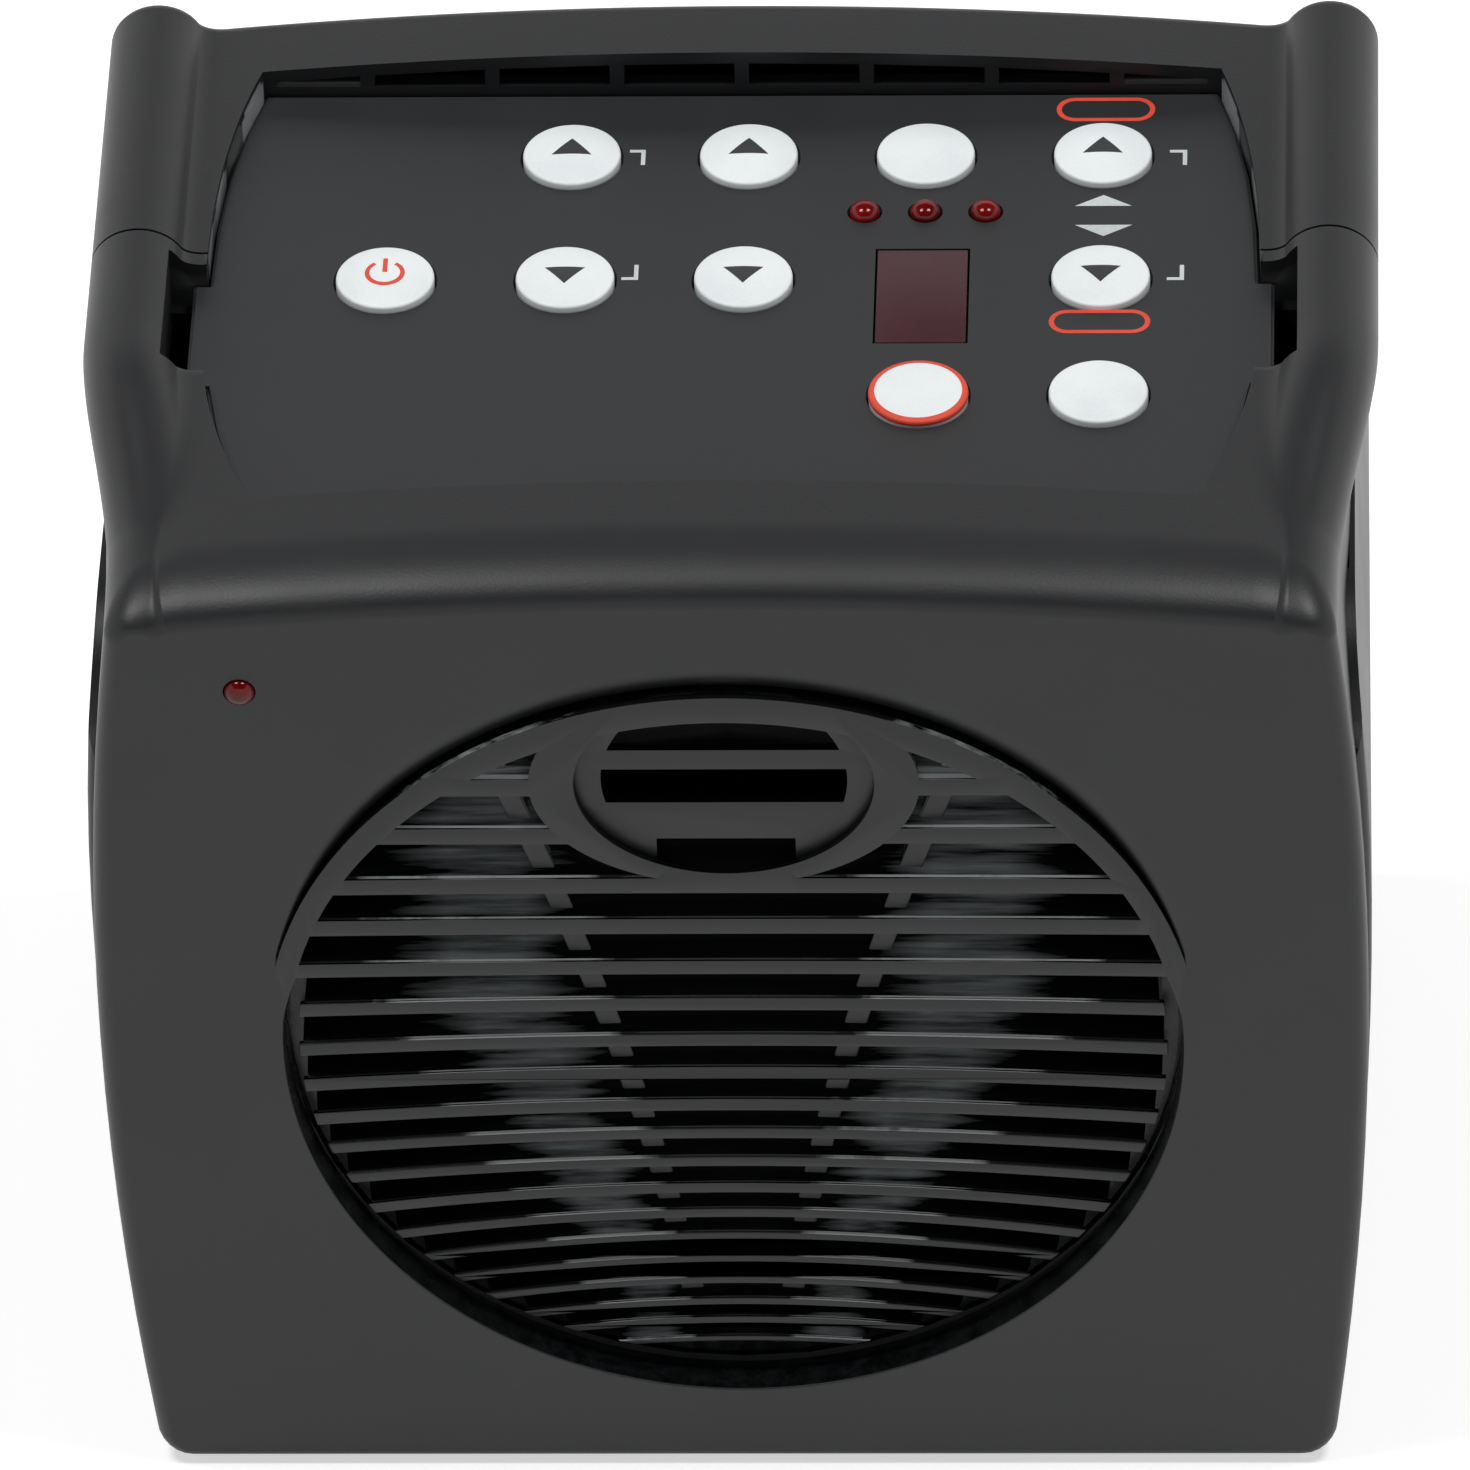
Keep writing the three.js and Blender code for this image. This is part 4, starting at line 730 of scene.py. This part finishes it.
def collarTube():  # the wall that stands behind the opening's edge
    face = middle["face"]
    low, high = (face + depth * mm for depth in ring["collarDepth"])
    centre = 0, middle["grille"]
    inner, outer = (radius * mm for radius in ring["collar"])
    tube = rod("collar", outer, low, high, centre, ring["steps"], "Y")
    return cut(tube, rod("collarCutter", inner, low - mm, high + mm, centre, ring["steps"], "Y"))


def boxHole(node, grow, axis, low, high, sides=64):  # a round hole round a node's box
    boxLow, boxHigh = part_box(node)
    radius = (boxHigh.x - boxLow.x) / 2
    at = boxLow.x + radius, (boxHigh.z if axis == "Y" else boxHigh.y) - radius
    return rod("hole", radius + grow * mm, low, high, at, sides, axis)


def flatNormals(obj, wall=None):  # large flat faces keep their normals; a flat wall at this y is shaded flat
    for face in obj.data.polygons:
        isNear = wall is not None and abs(face.center.y - wall) < tolerance["sliver"] * mm
        if isNear and abs(face.normal.y) > tolerance["square"]:
            face.use_smooth = False
    normals = obj.modifiers.new("normals", "WEIGHTED_NORMAL")
    normals.keep_sharp = True
    return applyAll(obj)


def isLitRecessWall(face):
    low, high = shell["recess"]
    near, far = shell["recessSide"]
    isAtPanel = low < face.center.z - middle["panel"] < high and near < abs(face.center.x) < far
    return isAtPanel and abs(face.normal.z) < shell["upright"] and abs(face.normal.x) > shell["sideways"]


def isMouthWall(face):
    low, high = shell["mouthDepth"]
    spread = math.hypot(face.center.x, face.center.z - middle["grille"])
    isInMouth = spread < shell["mouthRadius"] and low < face.center.y - middle["face"] < high
    return isInMouth and abs(face.normal.y) < shell["mouthLean"]


frontSkin = cut(frontForm(0), frontForm(form["skin"]))
within(frontSkin, seamRegion(0))
cut(frontSkin, collarTube(), "UNION")
cut(frontSkin, grilleHole())
cut(frontSkin, panelHole())
cut(frontSkin, boxHole("front_led", shell["lampRoom"], "Y", *around(middle["face"]), 40))
bevel(frontSkin, *shell["edge"])
frontCore = copyOf("front_housing", "frontCore")
within(frontCore, frontForm(shell["coreInset"]))
coreLow, coreHigh = (middle["face"] + depth * mm for depth in ring["coreDepth"])
cut(frontCore, rod("coreCutter", ring["coreRoom"] * mm, coreLow, coreHigh, (0, middle["grille"]),
                   ring["steps"], "Y"))
frontShell = joined("frontShell", [frontSkin, frontCore])

rearSkin = cut(rearForm(0), rearForm(form["skin"]))
cut(rearSkin, seamRegion(form["gap"]))
cut(rearSkin, panelHole())
rearWall = form["depth"] / 2 * mm + form["shift"][0] * mm
rearRun = around(rearWall)
for index in range(1, 5):
    cut(rearSkin, boxHole(f"housing_screw_{index}", shell["screwRoom"], "Y", *rearRun))
    cut(rearSkin, boxHole(f"rubber_foot_{index}", shell["footRoom"], "Z", -mm, clear["cut"]))
for socket in ("power_socket", "audio_socket"):
    cut(rearSkin, boxHole(socket, shell["socketRoom"], "Y", *rearRun))
doorLow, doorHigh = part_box("battery_door")
doorOutline = roundedBox(doorLow.x, doorLow.z, doorHigh.x, doorHigh.z, shell["doorCorner"] * mm,
                         -shell["doorRoom"] * mm)
cut(rearSkin, prism("doorHole", doorOutline, *rearRun, "Y"))
bevel(rearSkin, *shell["edge"])
editing(rearSkin)
bpy.ops.mesh.dissolve_degenerate(threshold=tolerance["sliver"] * mm)
edited(rearSkin)
rearCore = copyOf("rear_housing", "rearCore")
within(rearCore, rearForm(shell["coreInset"]))
rearShell = joined("rearShell", [rearSkin, rearCore])
for piece, node in ((frontShell, "front_housing"), (rearShell, "rear_housing")):
    smooth(dress(piece, "mouldedAbs", "wallAbs", "paintedLitWall"), shell["smoothBelow"])
    for face in piece.data.polygons:
        # the recess's side walls take the pale grey of painted light; the mouth's walls take the dark wall
        # finish, partly painted shade
        if isLitRecessWall(face):
            face.material_index = 2
        if piece is frontShell and isMouthWall(face):
            face.material_index = 1
    flatNormals(piece, rearWall if piece is rearShell else None)
    standIn(piece, "root", node)
print("shells made")


# speaker grille: a front plate with the ring, the upper blades and the badge seat; free lower blades; behind
# them polished louvres that rise inwards, two curved ribs and a back ring. Sizes in mm

grille = {
    # top and bottom over the grille's middle, and the arch as 1 over its radius, of each blade
    "blades": (
        (34.28, 32.25, 0), (28.04, 26.12, 0), (21.71, 19.84, 0.0003), (16.5, 14.6, 0.0003),
        (11.07, 9.39, 0.0005), (6.23, 4.63, 0.0009), (1.43, -0.17, 0.0014), (-2.98, -4.5, 0.0018),
        (-7.27, -8.75, 0.0022), (-11.18, -12.62, 0.0025), (-15.05, -16.4, 0.003), (-18.61, -19.84, 0.0041),
        (-22.1, -23.23, 0.005), (-25.28, -26.37, 0.006), (-28.42, -29.47, 0.0066), (-31.35, -32.35, 0.0072),
        (-34.3, -35.2, 0.0077), (-36.85, -37.7, 0.0081), (-39.5, -40.2, 0.0085),
    ),
    # the plate with the ring and the upper blades; under plateFrom the blades are free and lean back
    "plateBlades": 5, "plate": 0.65, "edge": 0.26, "slimEdge": 0.24, "plateFrom": 7.7, "endRadius": 42.1,
    "lowFront": -44.55, "lowSlope": 0.05, "lowFrom": 3.7, "columns": 40, "corner": (0.3, 3, 30),
    # the ring ends at half height, and thins out below taperTop to this oval
    "taper": (43.7, 32.6), "taperTop": 8.5, "topGap": 46,
    "badge": 33.65, "badgeHalf": (18.7, 12.8), "seatHalf": (14.4, 11.3), "seatDepth": 0.85,
    "seatThick": 1.1, "seatLap": 0.4, "seatEdge": 0.18, "slotHalf": (11.8, 11.1), "slotAside": 30,
    "slots": ((37.33, 45.0), (30.72, 34.92)), "tail": (6.67, 15, 26.12),
    "ringSteps": 224, "bevel": (3, 50), "strip": 44,
    # a face that looks so much up and so much forwards takes the painted edge highlight; the walls look less
    # forwards
    "edgeUp": {"slope": 0.2, "plate": 0.3}, "edgeForward": 0.2, "wall": 0.3,
}
louvreForm = {
    # steps up the slope, the first of which carries the painted edge highlight; how far it climbs and how
    # deep it goes
    "shares": (0, 0.045, 0.125, 0.25, 0.375, 0.5, 0.625, 0.75, 0.875, 1), "rise": 0.86, "steep": 1.02,
    "roll": 0.25, "lip": 0.2, "drop": 0.04, "foot": 0.1, "highlightShare": 0.06,
    # its back, its half width in the plate, and how much shorter than the blades the free ones are
    "back": -37.1, "reach": 43.4, "short": 0.4, "columns": 48, "rounds": 12, "firstReach": 0.8, "least": 0.04,
    # the slope bows forwards in plan by so much at its ends, more so in the narrow blades lower down
    "sag": (2.4, 15.0), "sagFull": 0.5, "backRoom": 0.1, "badgeRoom": 0.3, "badgeDepth": (-0.05, -0.03),
}
ribForm = {
    # its place beside the middle is a + b height + c height squared
    "line": (11.4, 0.245, 0.0016), "half": 1.15, "front": 0.95, "rear": -39.2, "span": (-42.0, 35.5),
    "steps": 40, "short": 0.6, "edge": 0.22,
}
ringForm = {
    # the body behind the ring's face: laps, start and foot in mm, the rest of the ring in metres
    "lap": (0.03, 0.06), "start": 0.4, "rear": -0.0400, "foot": 0.05, "collar": (-0.0445, -0.03),
    "backRadii": (0.0385, 0.0431, 0.0465), "backFront": -0.0405, "seat": 0.0003,
}
back = middle["bladeBack"]
centre = middle["grille"] / mm


def frontAt(height):  # where the blades' front lies at a height over the middle, in mm
    if height > grille["plateFrom"]:
        return middle["face"] / mm - ring["proud"] + ring["slope"] * (ring["top"] - centre - height)
    return grille["lowFront"] + grille["lowSlope"] * (grille["lowFrom"] - height)


def bandPrism(name, upper, lower, reach, low, high):  # between two arched lines, each (height, arch)
    xs = [reach * (2 * i / grille["columns"] - 1) for i in range(grille["columns"] + 1)]
    outline = [(x * mm, (centre + lower[0] - lower[1] * x * x / 2) * mm) for x in xs]
    outline += [(x * mm, (centre + upper[0] - upper[1] * x * x / 2) * mm) for x in reversed(xs)]
    return prism(name, outline, low, high, "Y")


def oval(name, halves, low, high, lift=0.0, steps=160):
    obj = rod(name, 1, low, high, (0, 0), steps, "Y")
    obj.scale = (halves[0] * mm, 1, halves[1] * mm)
    obj.location = (0, 0, middle["grille"] + lift * mm)
    return settle(obj)


def ringOval(name, halves, low, high):
    return oval(name, halves, low, high, 0, grille["ringSteps"])


def grown(halves, amount):
    return [half + amount for half in halves]


def below(name, low, high, height):  # a block under a height over the middle, in mm
    return block(name, (-clear["aside"], low, -clear["floor"]),
                 (clear["aside"], high, middle["grille"] + height * mm))


# faces that take the painted edge highlight
def isHighlitEdge(face, kind):
    return face.normal.y < -grille["edgeForward"] and face.normal.z > grille["edgeUp"][kind]


def edged(obj, width):
    return bevel(obj, width, *grille["bevel"])


def leaned(obj):  # set on the ring's leaning front plane
    for vertex in obj.data.vertices:
        vertex.co.y += ring["slope"] * (ring["top"] * mm - vertex.co.z)
    return obj


plateFront = middle["face"] - ring["proud"] * mm
plateBack = plateFront + grille["plate"] * mm
past = 0.002
plateRun = plateFront - past, plateBack + past
plateLong = plateFront - 2 * past, plateBack + 2 * past
plate = ringOval("grillePlate", ring["outer"], plateFront, plateBack)
cut(plate, below("footCutter", *plateRun, 0))
taper = ringOval("taper", grille["taper"], *plateRun)
within(taper, below("taperRoom", *plateLong, grille["taperTop"]))
cut(plate, taper)
bladeRows = grille["blades"]
gaps = []
for index in range(grille["plateBlades"] + 1):
    upper = (grille["topGap"], 0) if index == 0 else bladeRows[index - 1][1:]
    lower = (bladeRows[index][0], bladeRows[index][2]) if index < grille["plateBlades"] else (0, 0)
    gaps.append(bandPrism(f"gap{index}", upper, lower, grille["topGap"], plateFront - past / 2,
                          plateBack + past / 2))
gapCutter = joined("gapCutter", gaps)
within(gapCutter, ringOval("innerOval", ring["inner"], *plateRun))
cut(gapCutter, oval("badgeOval", grille["badgeHalf"], *plateRun, grille["badge"]))
bevel(gapCutter, *grille["corner"])
cut(plate, gapCutter)
seatCutter = oval("seatCutter", grille["seatHalf"], *plateRun, grille["badge"])
within(seatCutter, ringOval("innerOval", ring["inner"], *plateLong))
cut(plate, seatCutter)
grilleFront = [leaned(edged(plate, grille["edge"]))]

seatFront = plateFront + grille["seatDepth"] * mm
seatBack = seatFront + grille["seatThick"] * mm
seatRun = seatFront - past, seatBack + past
seat = oval("seatFloor", grown(grille["seatHalf"], grille["seatLap"]), seatFront, seatBack, grille["badge"])
slotAside = grille["slotAside"] * mm
for low, high in grille["slots"]:
    slot = oval("slotCutter", grille["slotHalf"], *seatRun, grille["badge"])
    within(slot, block("slotBand", (-slotAside, seatFront - 2 * past, (centre + low) * mm),
                       (slotAside, seatBack + 2 * past, (centre + high) * mm)))
    cut(seat, slot)
tailHalf, tailLow, tailTop = grille["tail"]
cut(seat, block("tailCutter", (-tailHalf * mm, seatFront - past, (centre + tailLow) * mm),
                (tailHalf * mm, seatBack + past, (centre + tailTop) * mm)))
within(seat, ringOval("ringOval", ring["outer"], *seatRun))
grilleFront.append(leaned(edged(seat, grille["seatEdge"])))

for top, bottom, arch in bladeRows[grille["plateBlades"]:]:
    front = frontAt(top) * mm
    strip = bandPrism("bladeFront", (top, arch), (bottom, arch), grille["strip"], front,
                      front + grille["plate"] * mm)
    within(strip, ringOval("endOval", (grille["endRadius"],) * 2, front - past, front + past))
    grilleFront.append(edged(strip, min(grille["edge"], (top - bottom) * grille["slimEdge"])))


def reachAt(height, arch, limit):  # how far an arched line runs before it meets the circle
    reach = limit * louvreForm["firstReach"]
    for _ in range(louvreForm["rounds"]):
        inside = limit ** 2 - (height - arch * reach * reach / 2) ** 2
        reach = math.sqrt(max(louvreForm["least"], inside))
    return reach


def louvreProfile(first, start, climb, foot):  # from the foot in front, up the slope and down the back
    rear, roll = louvreForm["back"], louvreForm["roll"]
    points = [(first, foot), (first, start)]
    for share in louvreForm["shares"][1:]:
        points.append((first + climb * louvreForm["steep"] * share,
                       start + climb * (1 + roll - roll * share) * share))
    return points + [(rear, start + climb), (rear, foot)]


louvres = []
for index, (top, bottom, arch) in enumerate(bladeRows):  # each blade's polished upper side, rising inwards
    above = ring["inner"][1] if index == 0 else bladeRows[index - 1][1]
    first = frontAt(top) + louvreForm["lip"]
    climb = (above - top) * louvreForm["rise"]
    profile = louvreProfile(first, top - louvreForm["drop"], climb, bottom + louvreForm["foot"])
    isFree = index >= grille["plateBlades"]
    limit = grille["endRadius"] - louvreForm["short"] if isFree else louvreForm["reach"]
    sag, leastReach = louvreForm["sag"]
    bow = sag / max(reachAt(top, arch, limit), leastReach) ** 2
    half = louvreForm["columns"] / 2
    loops = [[] for _ in range(louvreForm["columns"] + 1)]
    for order, (y, height) in enumerate(profile):
        reach = reachAt(height, arch, limit)
        isBack = order >= len(profile) - 2
        share = 0 if isBack or order == 0 else louvreForm["shares"][order - 1]
        rear = louvreForm["back"] - (0 if isBack else louvreForm["backRoom"])
        bowed = bow * smoothstep(share, 0, louvreForm["sagFull"])
        for i, loop in enumerate(loops):
            x = reach * (i / half - 1)
            loop.append((x, min(y + bowed * x * x, rear), centre + height - arch * x * x / 2))
    louvre = dress(loft(f"louvre{index}", loops), "polishedAbs", "paintedEdgeHighlight")
    edgeBack = (first + louvreForm["highlightShare"] * climb) * mm
    # the slope's front edge takes the painted highlight
    for face in louvre.data.polygons:
        isEdge = isHighlitEdge(face, "slope") and face.center.y < edgeBack
        face.material_index = 1 if isEdge else 0
    if index < 2:  # the first two end at the badge's seat
        room = grown(grille["seatHalf"], louvreForm["badgeRoom"])
        cut(louvre, oval("badgeRoom", room, *louvreForm["badgeDepth"], grille["badge"]))
    louvres.append(louvre)

ribDepth = louvreForm["badgeDepth"][0], back
for side in (-1, 1):
    a, b, c = ribForm["line"]
    loops = []
    for step in range(ribForm["steps"] + 1):
        height = mix(*ribForm["span"], step / ribForm["steps"])
        x = side * (a + b * height + c * height * height)
        left, right = x - ribForm["half"], x + ribForm["half"]
        front, z = frontAt(height) + ribForm["front"], centre + height
        loops.append([(left, front, z), (right, front, z), (right, ribForm["rear"], z),
                      (left, ribForm["rear"], z)])
    rib = loft(f"rib{side}", loops)
    within(rib, oval("ribEnd", (grille["endRadius"] - ribForm["short"],) * 2, *ribDepth))
    cut(rib, oval("badgeOval", grille["badgeHalf"], *ribDepth, grille["badge"]))
    grilleFront.append(edged(rib, ribForm["edge"]))

# the ring's body, and the back ring that seats behind the collar
outerLap, innerLap = ringForm["lap"]
bodyFront = plateFront + ringForm["start"] * mm
body = ringOval("ringBody", grown(ring["outer"], -outerLap), bodyFront, ringForm["rear"])
cut(body, ringOval("bodyCutter", grown(ring["inner"], innerLap), plateFront - past, back))
cut(body, below("footCutter", clear["ahead"] * mm, 0, grille["taperTop"] + ringForm["foot"]))
within(body, ringOval("collarRoom", ring["mouth"], *ringForm["collar"]))
bore, step, rim = ringForm["backRadii"]
seatRear = middle["collarRear"] + ringForm["seat"]
backProfile = [(bore, back), (bore, ringForm["backFront"]), (step, ringForm["backFront"]), (step, seatRear),
               (rim, seatRear), (rim, back), (bore, back)]
backRing = spun("backRing", backProfile, (0, middle["grille"]), "Y", ring["steps"])
for piece in grilleFront:
    dress(piece, "grilleAbs", "polishedAbs", "paintedEdgeHighlight")
    # up-and-forward edges take the painted highlight; walls take the polished finish with its painted streaks
    for face in piece.data.polygons:
        isWall = abs(face.normal.y) < grille["wall"]
        face.material_index = 2 if isHighlitEdge(face, "plate") else 1 if isWall else 0
for piece in (body, backRing):
    dress(piece, "wallAbs")
grillePiece = joined("grille", grilleFront + louvres + [body, backRing])
standIn(smooth(grillePiece), "root", "speaker_grille")
print("grille made")

# press keys: domed white caps with printed signs. Sizes in mm

cap = {
    "radius": 4.8, "stand": 0.6, "dome": 0.6, "edge": 0.3, "flange": 1.0, "flangeThick": 1.1, "steps": 72,
    "edgeSteps": 4, "domeSteps": 8, "inkRise": 0.02, "inkBase": 0.1, "inkStart": 0.2, "inkTop": 3.1,
    "places": {
        "volume_up": (-16.4, 26.2), "volume_down": (-16.4, 6.8), "tone_up": (0.95, 26.2),
        "tone_down": (0.95, 6.8), "string_select": (18.3, 26.2), "memory": (18.3, -11.2),
        "pitch_up": (35.65, 26.2), "pitch_down": (35.65, 6.8), "mode": (35.65, -11.2), "power": (-33.9, 6.8),
    },
    "up": [(-1.95, -0.75), (1.95, -0.75), (0, 1.75)], "down": [(-1.95, 0.75), (0, -1.75), (1.95, 0.75)],
    # the power sign: an open circle, and a bar in its gap
    "circle": (1.95, 1.5), "circleSpan": (125, 415),
    "bar": [(-0.23, 0.0), (0.23, 0.0), (0.23, 2.3), (-0.23, 2.3)],
    # the red rim round one cap: its radii, the heights of its sides over the panel, and its round edge
    "rimRadii": (4.25, 4.84), "rimHeights": (0.72, 0.35), "rimEdge": (4.52, 0.32, 0.33),
}


def domeProfile(rise, low):  # the cap's own profile, or one a little over it for the ink
    radius = cap["radius"] * mm
    shoulder = middle["panel"] + (cap["stand"] + rise) * mm
    edge = cap["edge"] * mm
    profile = arc((radius - edge, shoulder - edge), edge, 0, 90, cap["edgeSteps"])
    for step in range(1, cap["domeSteps"] + 1):
        left = 1 - step / cap["domeSteps"]
        profile.append(((radius - edge) * left, shoulder + cap["dome"] * mm * (1 - left ** 2)))
    return low + profile


def signs(name):  # outlines of the ink on a cap, in mm round its middle, with the ink's name
    if name == "power":
        outer, inner = cap["circle"]
        first, last = cap["circleSpan"]
        circle = arc((0, 0), outer, first, last, 40) + arc((0, 0), inner, last, first, 40)
        return [(circle, "inkRed"), (cap["bar"], "inkRed")]
    ending = name.split("_")[-1]
    return [(cap[ending], "inkBlack")] if ending in ("up", "down") else []


def finished(obj, finish, node, body="root"):  # finish is None for a piece that is dressed already
    return standIn(smooth(dress(obj, finish) if finish else obj), body, node)


base = middle["panel"] + cap["inkBase"] * mm
for name, (x, y) in cap["places"].items():
    node = "key_" + name
    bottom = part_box(node)[0].z
    radius, flangeTop = cap["radius"] * mm, bottom + cap["flangeThick"] * mm
    wide = (cap["radius"] + cap["flange"]) * mm
    low = [(0, bottom), (wide, bottom), (wide, flangeTop), (radius, flangeTop)]
    at = onPanel(x, y)
    parts = [dress(spun(name, domeProfile(0, low), at, "Z", cap["steps"]), "keyPlastic")]
    for outline, ink in signs(name):
        mark = prism("mark", [(at[0] + u * mm, at[1] + v * mm) for u, v in outline],
                     middle["panel"] + cap["inkStart"] * mm, middle["panel"] + cap["inkTop"] * mm)
        over = domeProfile(cap["inkRise"], [(0, base), (radius, base)])
        within(mark, spun("inkDome", over, at, "Z", cap["steps"]))
        parts.append(dress(mark, ink))
    if name == "memory":
        inner, outer = (size * mm for size in cap["rimRadii"])
        innerTop, outerTop = (middle["panel"] + height * mm for height in cap["rimHeights"])
        edgeAt, edgeHeight, edge = (size * mm for size in cap["rimEdge"])
        rim = [(inner, base), (outer, base), (outer, outerTop)]
        rim += arc((edgeAt, middle["panel"] + edgeHeight), edge, 0, 90, cap["edgeSteps"])
        rim += [(inner, innerTop), (inner, base)]
        parts.append(dress(spun("rim", rim, at, "Z", cap["steps"]), "inkRed"))
    finished(joined("keyCap_" + name, parts), None, node, node)
print("keys made")


# printed overlay: holes cut truly round, and the print laid on it as a thin film of ink

lamps = {"x": (12.5, 18.4, 24.3), "y": 17.5, "radius": 1.5, "stand": 1.1, "dome": 0.8}
sheet = {
    "keyHole": 5.07, "lampHole": 1.72, "heights": (0.1, 0.115), "film": (-0.05, 0.015), "line": 0.42,
    # corner brackets: the ends of each, and where its upright stands
    "hooks": (
        (-10.76, 27.52, -9.21, 25.12, "top"), (-10.94, 9.29, -9.31, 6.93, "bottom"),
        (42.19, 27.22, 43.88, 24.82, "top"), (42.06, 9.01, 43.73, 6.65, "bottom"),
    ),
    "arrows": (
        [(33.0, 18.36), (38.55, 18.36), (35.78, 20.08)], [(33.04, 15.36), (35.82, 13.59), (38.61, 15.36)],
    ),
    # red frames with round ends: the corners, the line's width and how far the ends are from half round
    "frames": ((31.0, 31.87, 40.68, 35.62), (30.7, -1.61, 40.52, 2.03)), "frameLine": 0.5, "frameEase": 0.02,
}
overlay = copyOf("panel_overlay", "overlay")
for x, y in cap["places"].values():
    cut(overlay, rod("holeCutter", sheet["keyHole"] * mm, *sheet["heights"], onPanel(x, y), 72))
for x in lamps["x"]:
    cut(overlay, rod("holeCutter", sheet["lampHole"] * mm, *sheet["heights"], onPanel(x, lamps["y"]), 40))
dress(overlay, "velvetSheet")
film = [middle["panel"] + height * mm for height in sheet["film"]]


def printed(name, outline, inkName):
    return dress(prism(name, [onPanel(x, y) for x, y in outline], *film), inkName)


def hook(x0, y0, x1, y1, side):
    w = sheet["line"]
    if side == "top":
        return [(x0, y0), (x1, y0), (x1, y1), (x1 - w, y1), (x1 - w, y0 - w), (x0, y0 - w)]
    return [(x0, y1), (x1, y1), (x1, y0), (x1 - w, y0), (x1 - w, y1 + w), (x0, y1 + w)]


prints = [printed("hook", hook(*corner), "inkWhite") for corner in sheet["hooks"]]
prints += [printed("arrow", arrow, "inkWhite") for arrow in sheet["arrows"]]
for corners in sheet["frames"]:
    bend = (corners[3] - corners[1]) / 2 - sheet["frameEase"]
    frameRing = printed("frameRing", roundedBox(*corners, bend), "inkRed")
    inside = [onPanel(x, y) for x, y in roundedBox(*corners, bend, sheet["frameLine"])]
    prints.append(cut(frameRing, prism("frameCutter", inside, *sheet["heights"])))
standIn(smooth(joined("overlaySheet", [overlay] + prints), 30), "root", "panel_overlay")
print("overlay made")


# lamps: domed red epoxy bodies

def roundOf(node, axis="Z"):  # the box, middle and radius of a node that is round about this axis
    low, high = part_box(node)
    aside = (low.z + high.z) / 2 if axis == "Y" else (low.y + high.y) / 2
    return low, high, ((low.x + high.x) / 2, aside), (high.x - low.x) / 2


def lampProfile(start, apex, sign=1):
    radius = lamps["radius"] * mm
    spring = apex - sign * radius * lamps["dome"]
    turns = [math.radians(10 * step) for step in range(1, 10)]
    return [(0, start), (radius, start), (radius, spring)] + [
        (radius * math.cos(t), spring + (apex - spring) * math.sin(t)) for t in turns]


for index, x in enumerate(lamps["x"], 1):
    profile = lampProfile(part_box(f"panel_led_{index}")[0].z, middle["panel"] + lamps["stand"] * mm)
    lamp = spun(f"lamp{index}", profile, onPanel(x, lamps["y"]), "Z", 48)
    finished(lamp, "lampEpoxy", f"panel_led_{index}")
low, high, at, radius = roundOf("front_led", "Y")
finished(spun("frontLamp", lampProfile(high.y, low.y, -1), at, "Y", 48), "lampEpoxy", "front_led")


# window, dry cells, battery door, rubber feet and case screws with cross recesses

small = {
    # bevels: width, steps and least angle
    "window": (0.12, 2), "cell": (0.3, 2, 60), "door": (0.2, 2, 48), "footEdge": 0.8,
    # the screw: head's height, tip's and shank's radius, tip's height
    "head": 1.6, "shank": (1.3, 1.5, 0.6),
    # the head's crown, as share of the radius and mm under its top; the recess's arms and depth
    "crown": ((1, 0.6), (0.86, 0.2), (0.6, 0), (0, 0)), "arm": (1.5, 0.42), "recess": 0.9,
}
window = bevel(block("window", *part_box("display_window")), *small["window"])
finished(window, "filterWindow", "display_window")
for node in sorted(name for name in frame["nodes"] if name.startswith("dry_cell")):
    cell = bevel(copyOf(node, node + "_sleeve"), *small["cell"])
    flatNormals(smooth(dress(cell, slotFinishes[nodeSlots[node]])))
    standIn(cell, "root", node)
door = bevel(copyOf("battery_door", "door"), *small["door"])
flatNormals(smooth(dress(door, "mouldedAbs"), 35), doorHigh.y)
standIn(door, "battery_door", "battery_door")
for index in range(1, 5):
    low, high, at, radius = roundOf(f"rubber_foot_{index}")
    edge = small["footEdge"] * mm
    profile = [(0, low.z)] + arc((radius - edge, low.z + edge), edge, 270, 360, 5)
    profile += [(radius, high.z), (0, high.z)]
    finished(spun(f"foot{index}", profile, at, "Z", 64), "footRubber", f"rubber_foot_{index}")
for index in range(1, 5):
    low, high, at, radius = roundOf(f"housing_screw_{index}", "Y")
    tip, shank, tipHeight = (size * mm for size in small["shank"])
    headLow = high.y - small["head"] * mm
    profile = [(0, low.y), (tip, low.y), (shank, low.y + tipHeight), (shank, headLow), (radius, headLow)]
    profile += [(radius * share, high.y - under * mm) for share, under in small["crown"]]
    screw = spun(f"caseScrew{index}", profile, at, "Y", 48)
    for wide, tall in (small["arm"], small["arm"][::-1]):
        cut(screw, block("driveCutter", (at[0] - wide * mm, high.y - small["recess"] * mm, at[1] - tall * mm),
                         (at[0] + wide * mm, high.y + mm, at[1] + tall * mm)))
    finished(screw, "zincPlate", f"housing_screw_{index}")
print("small parts made")
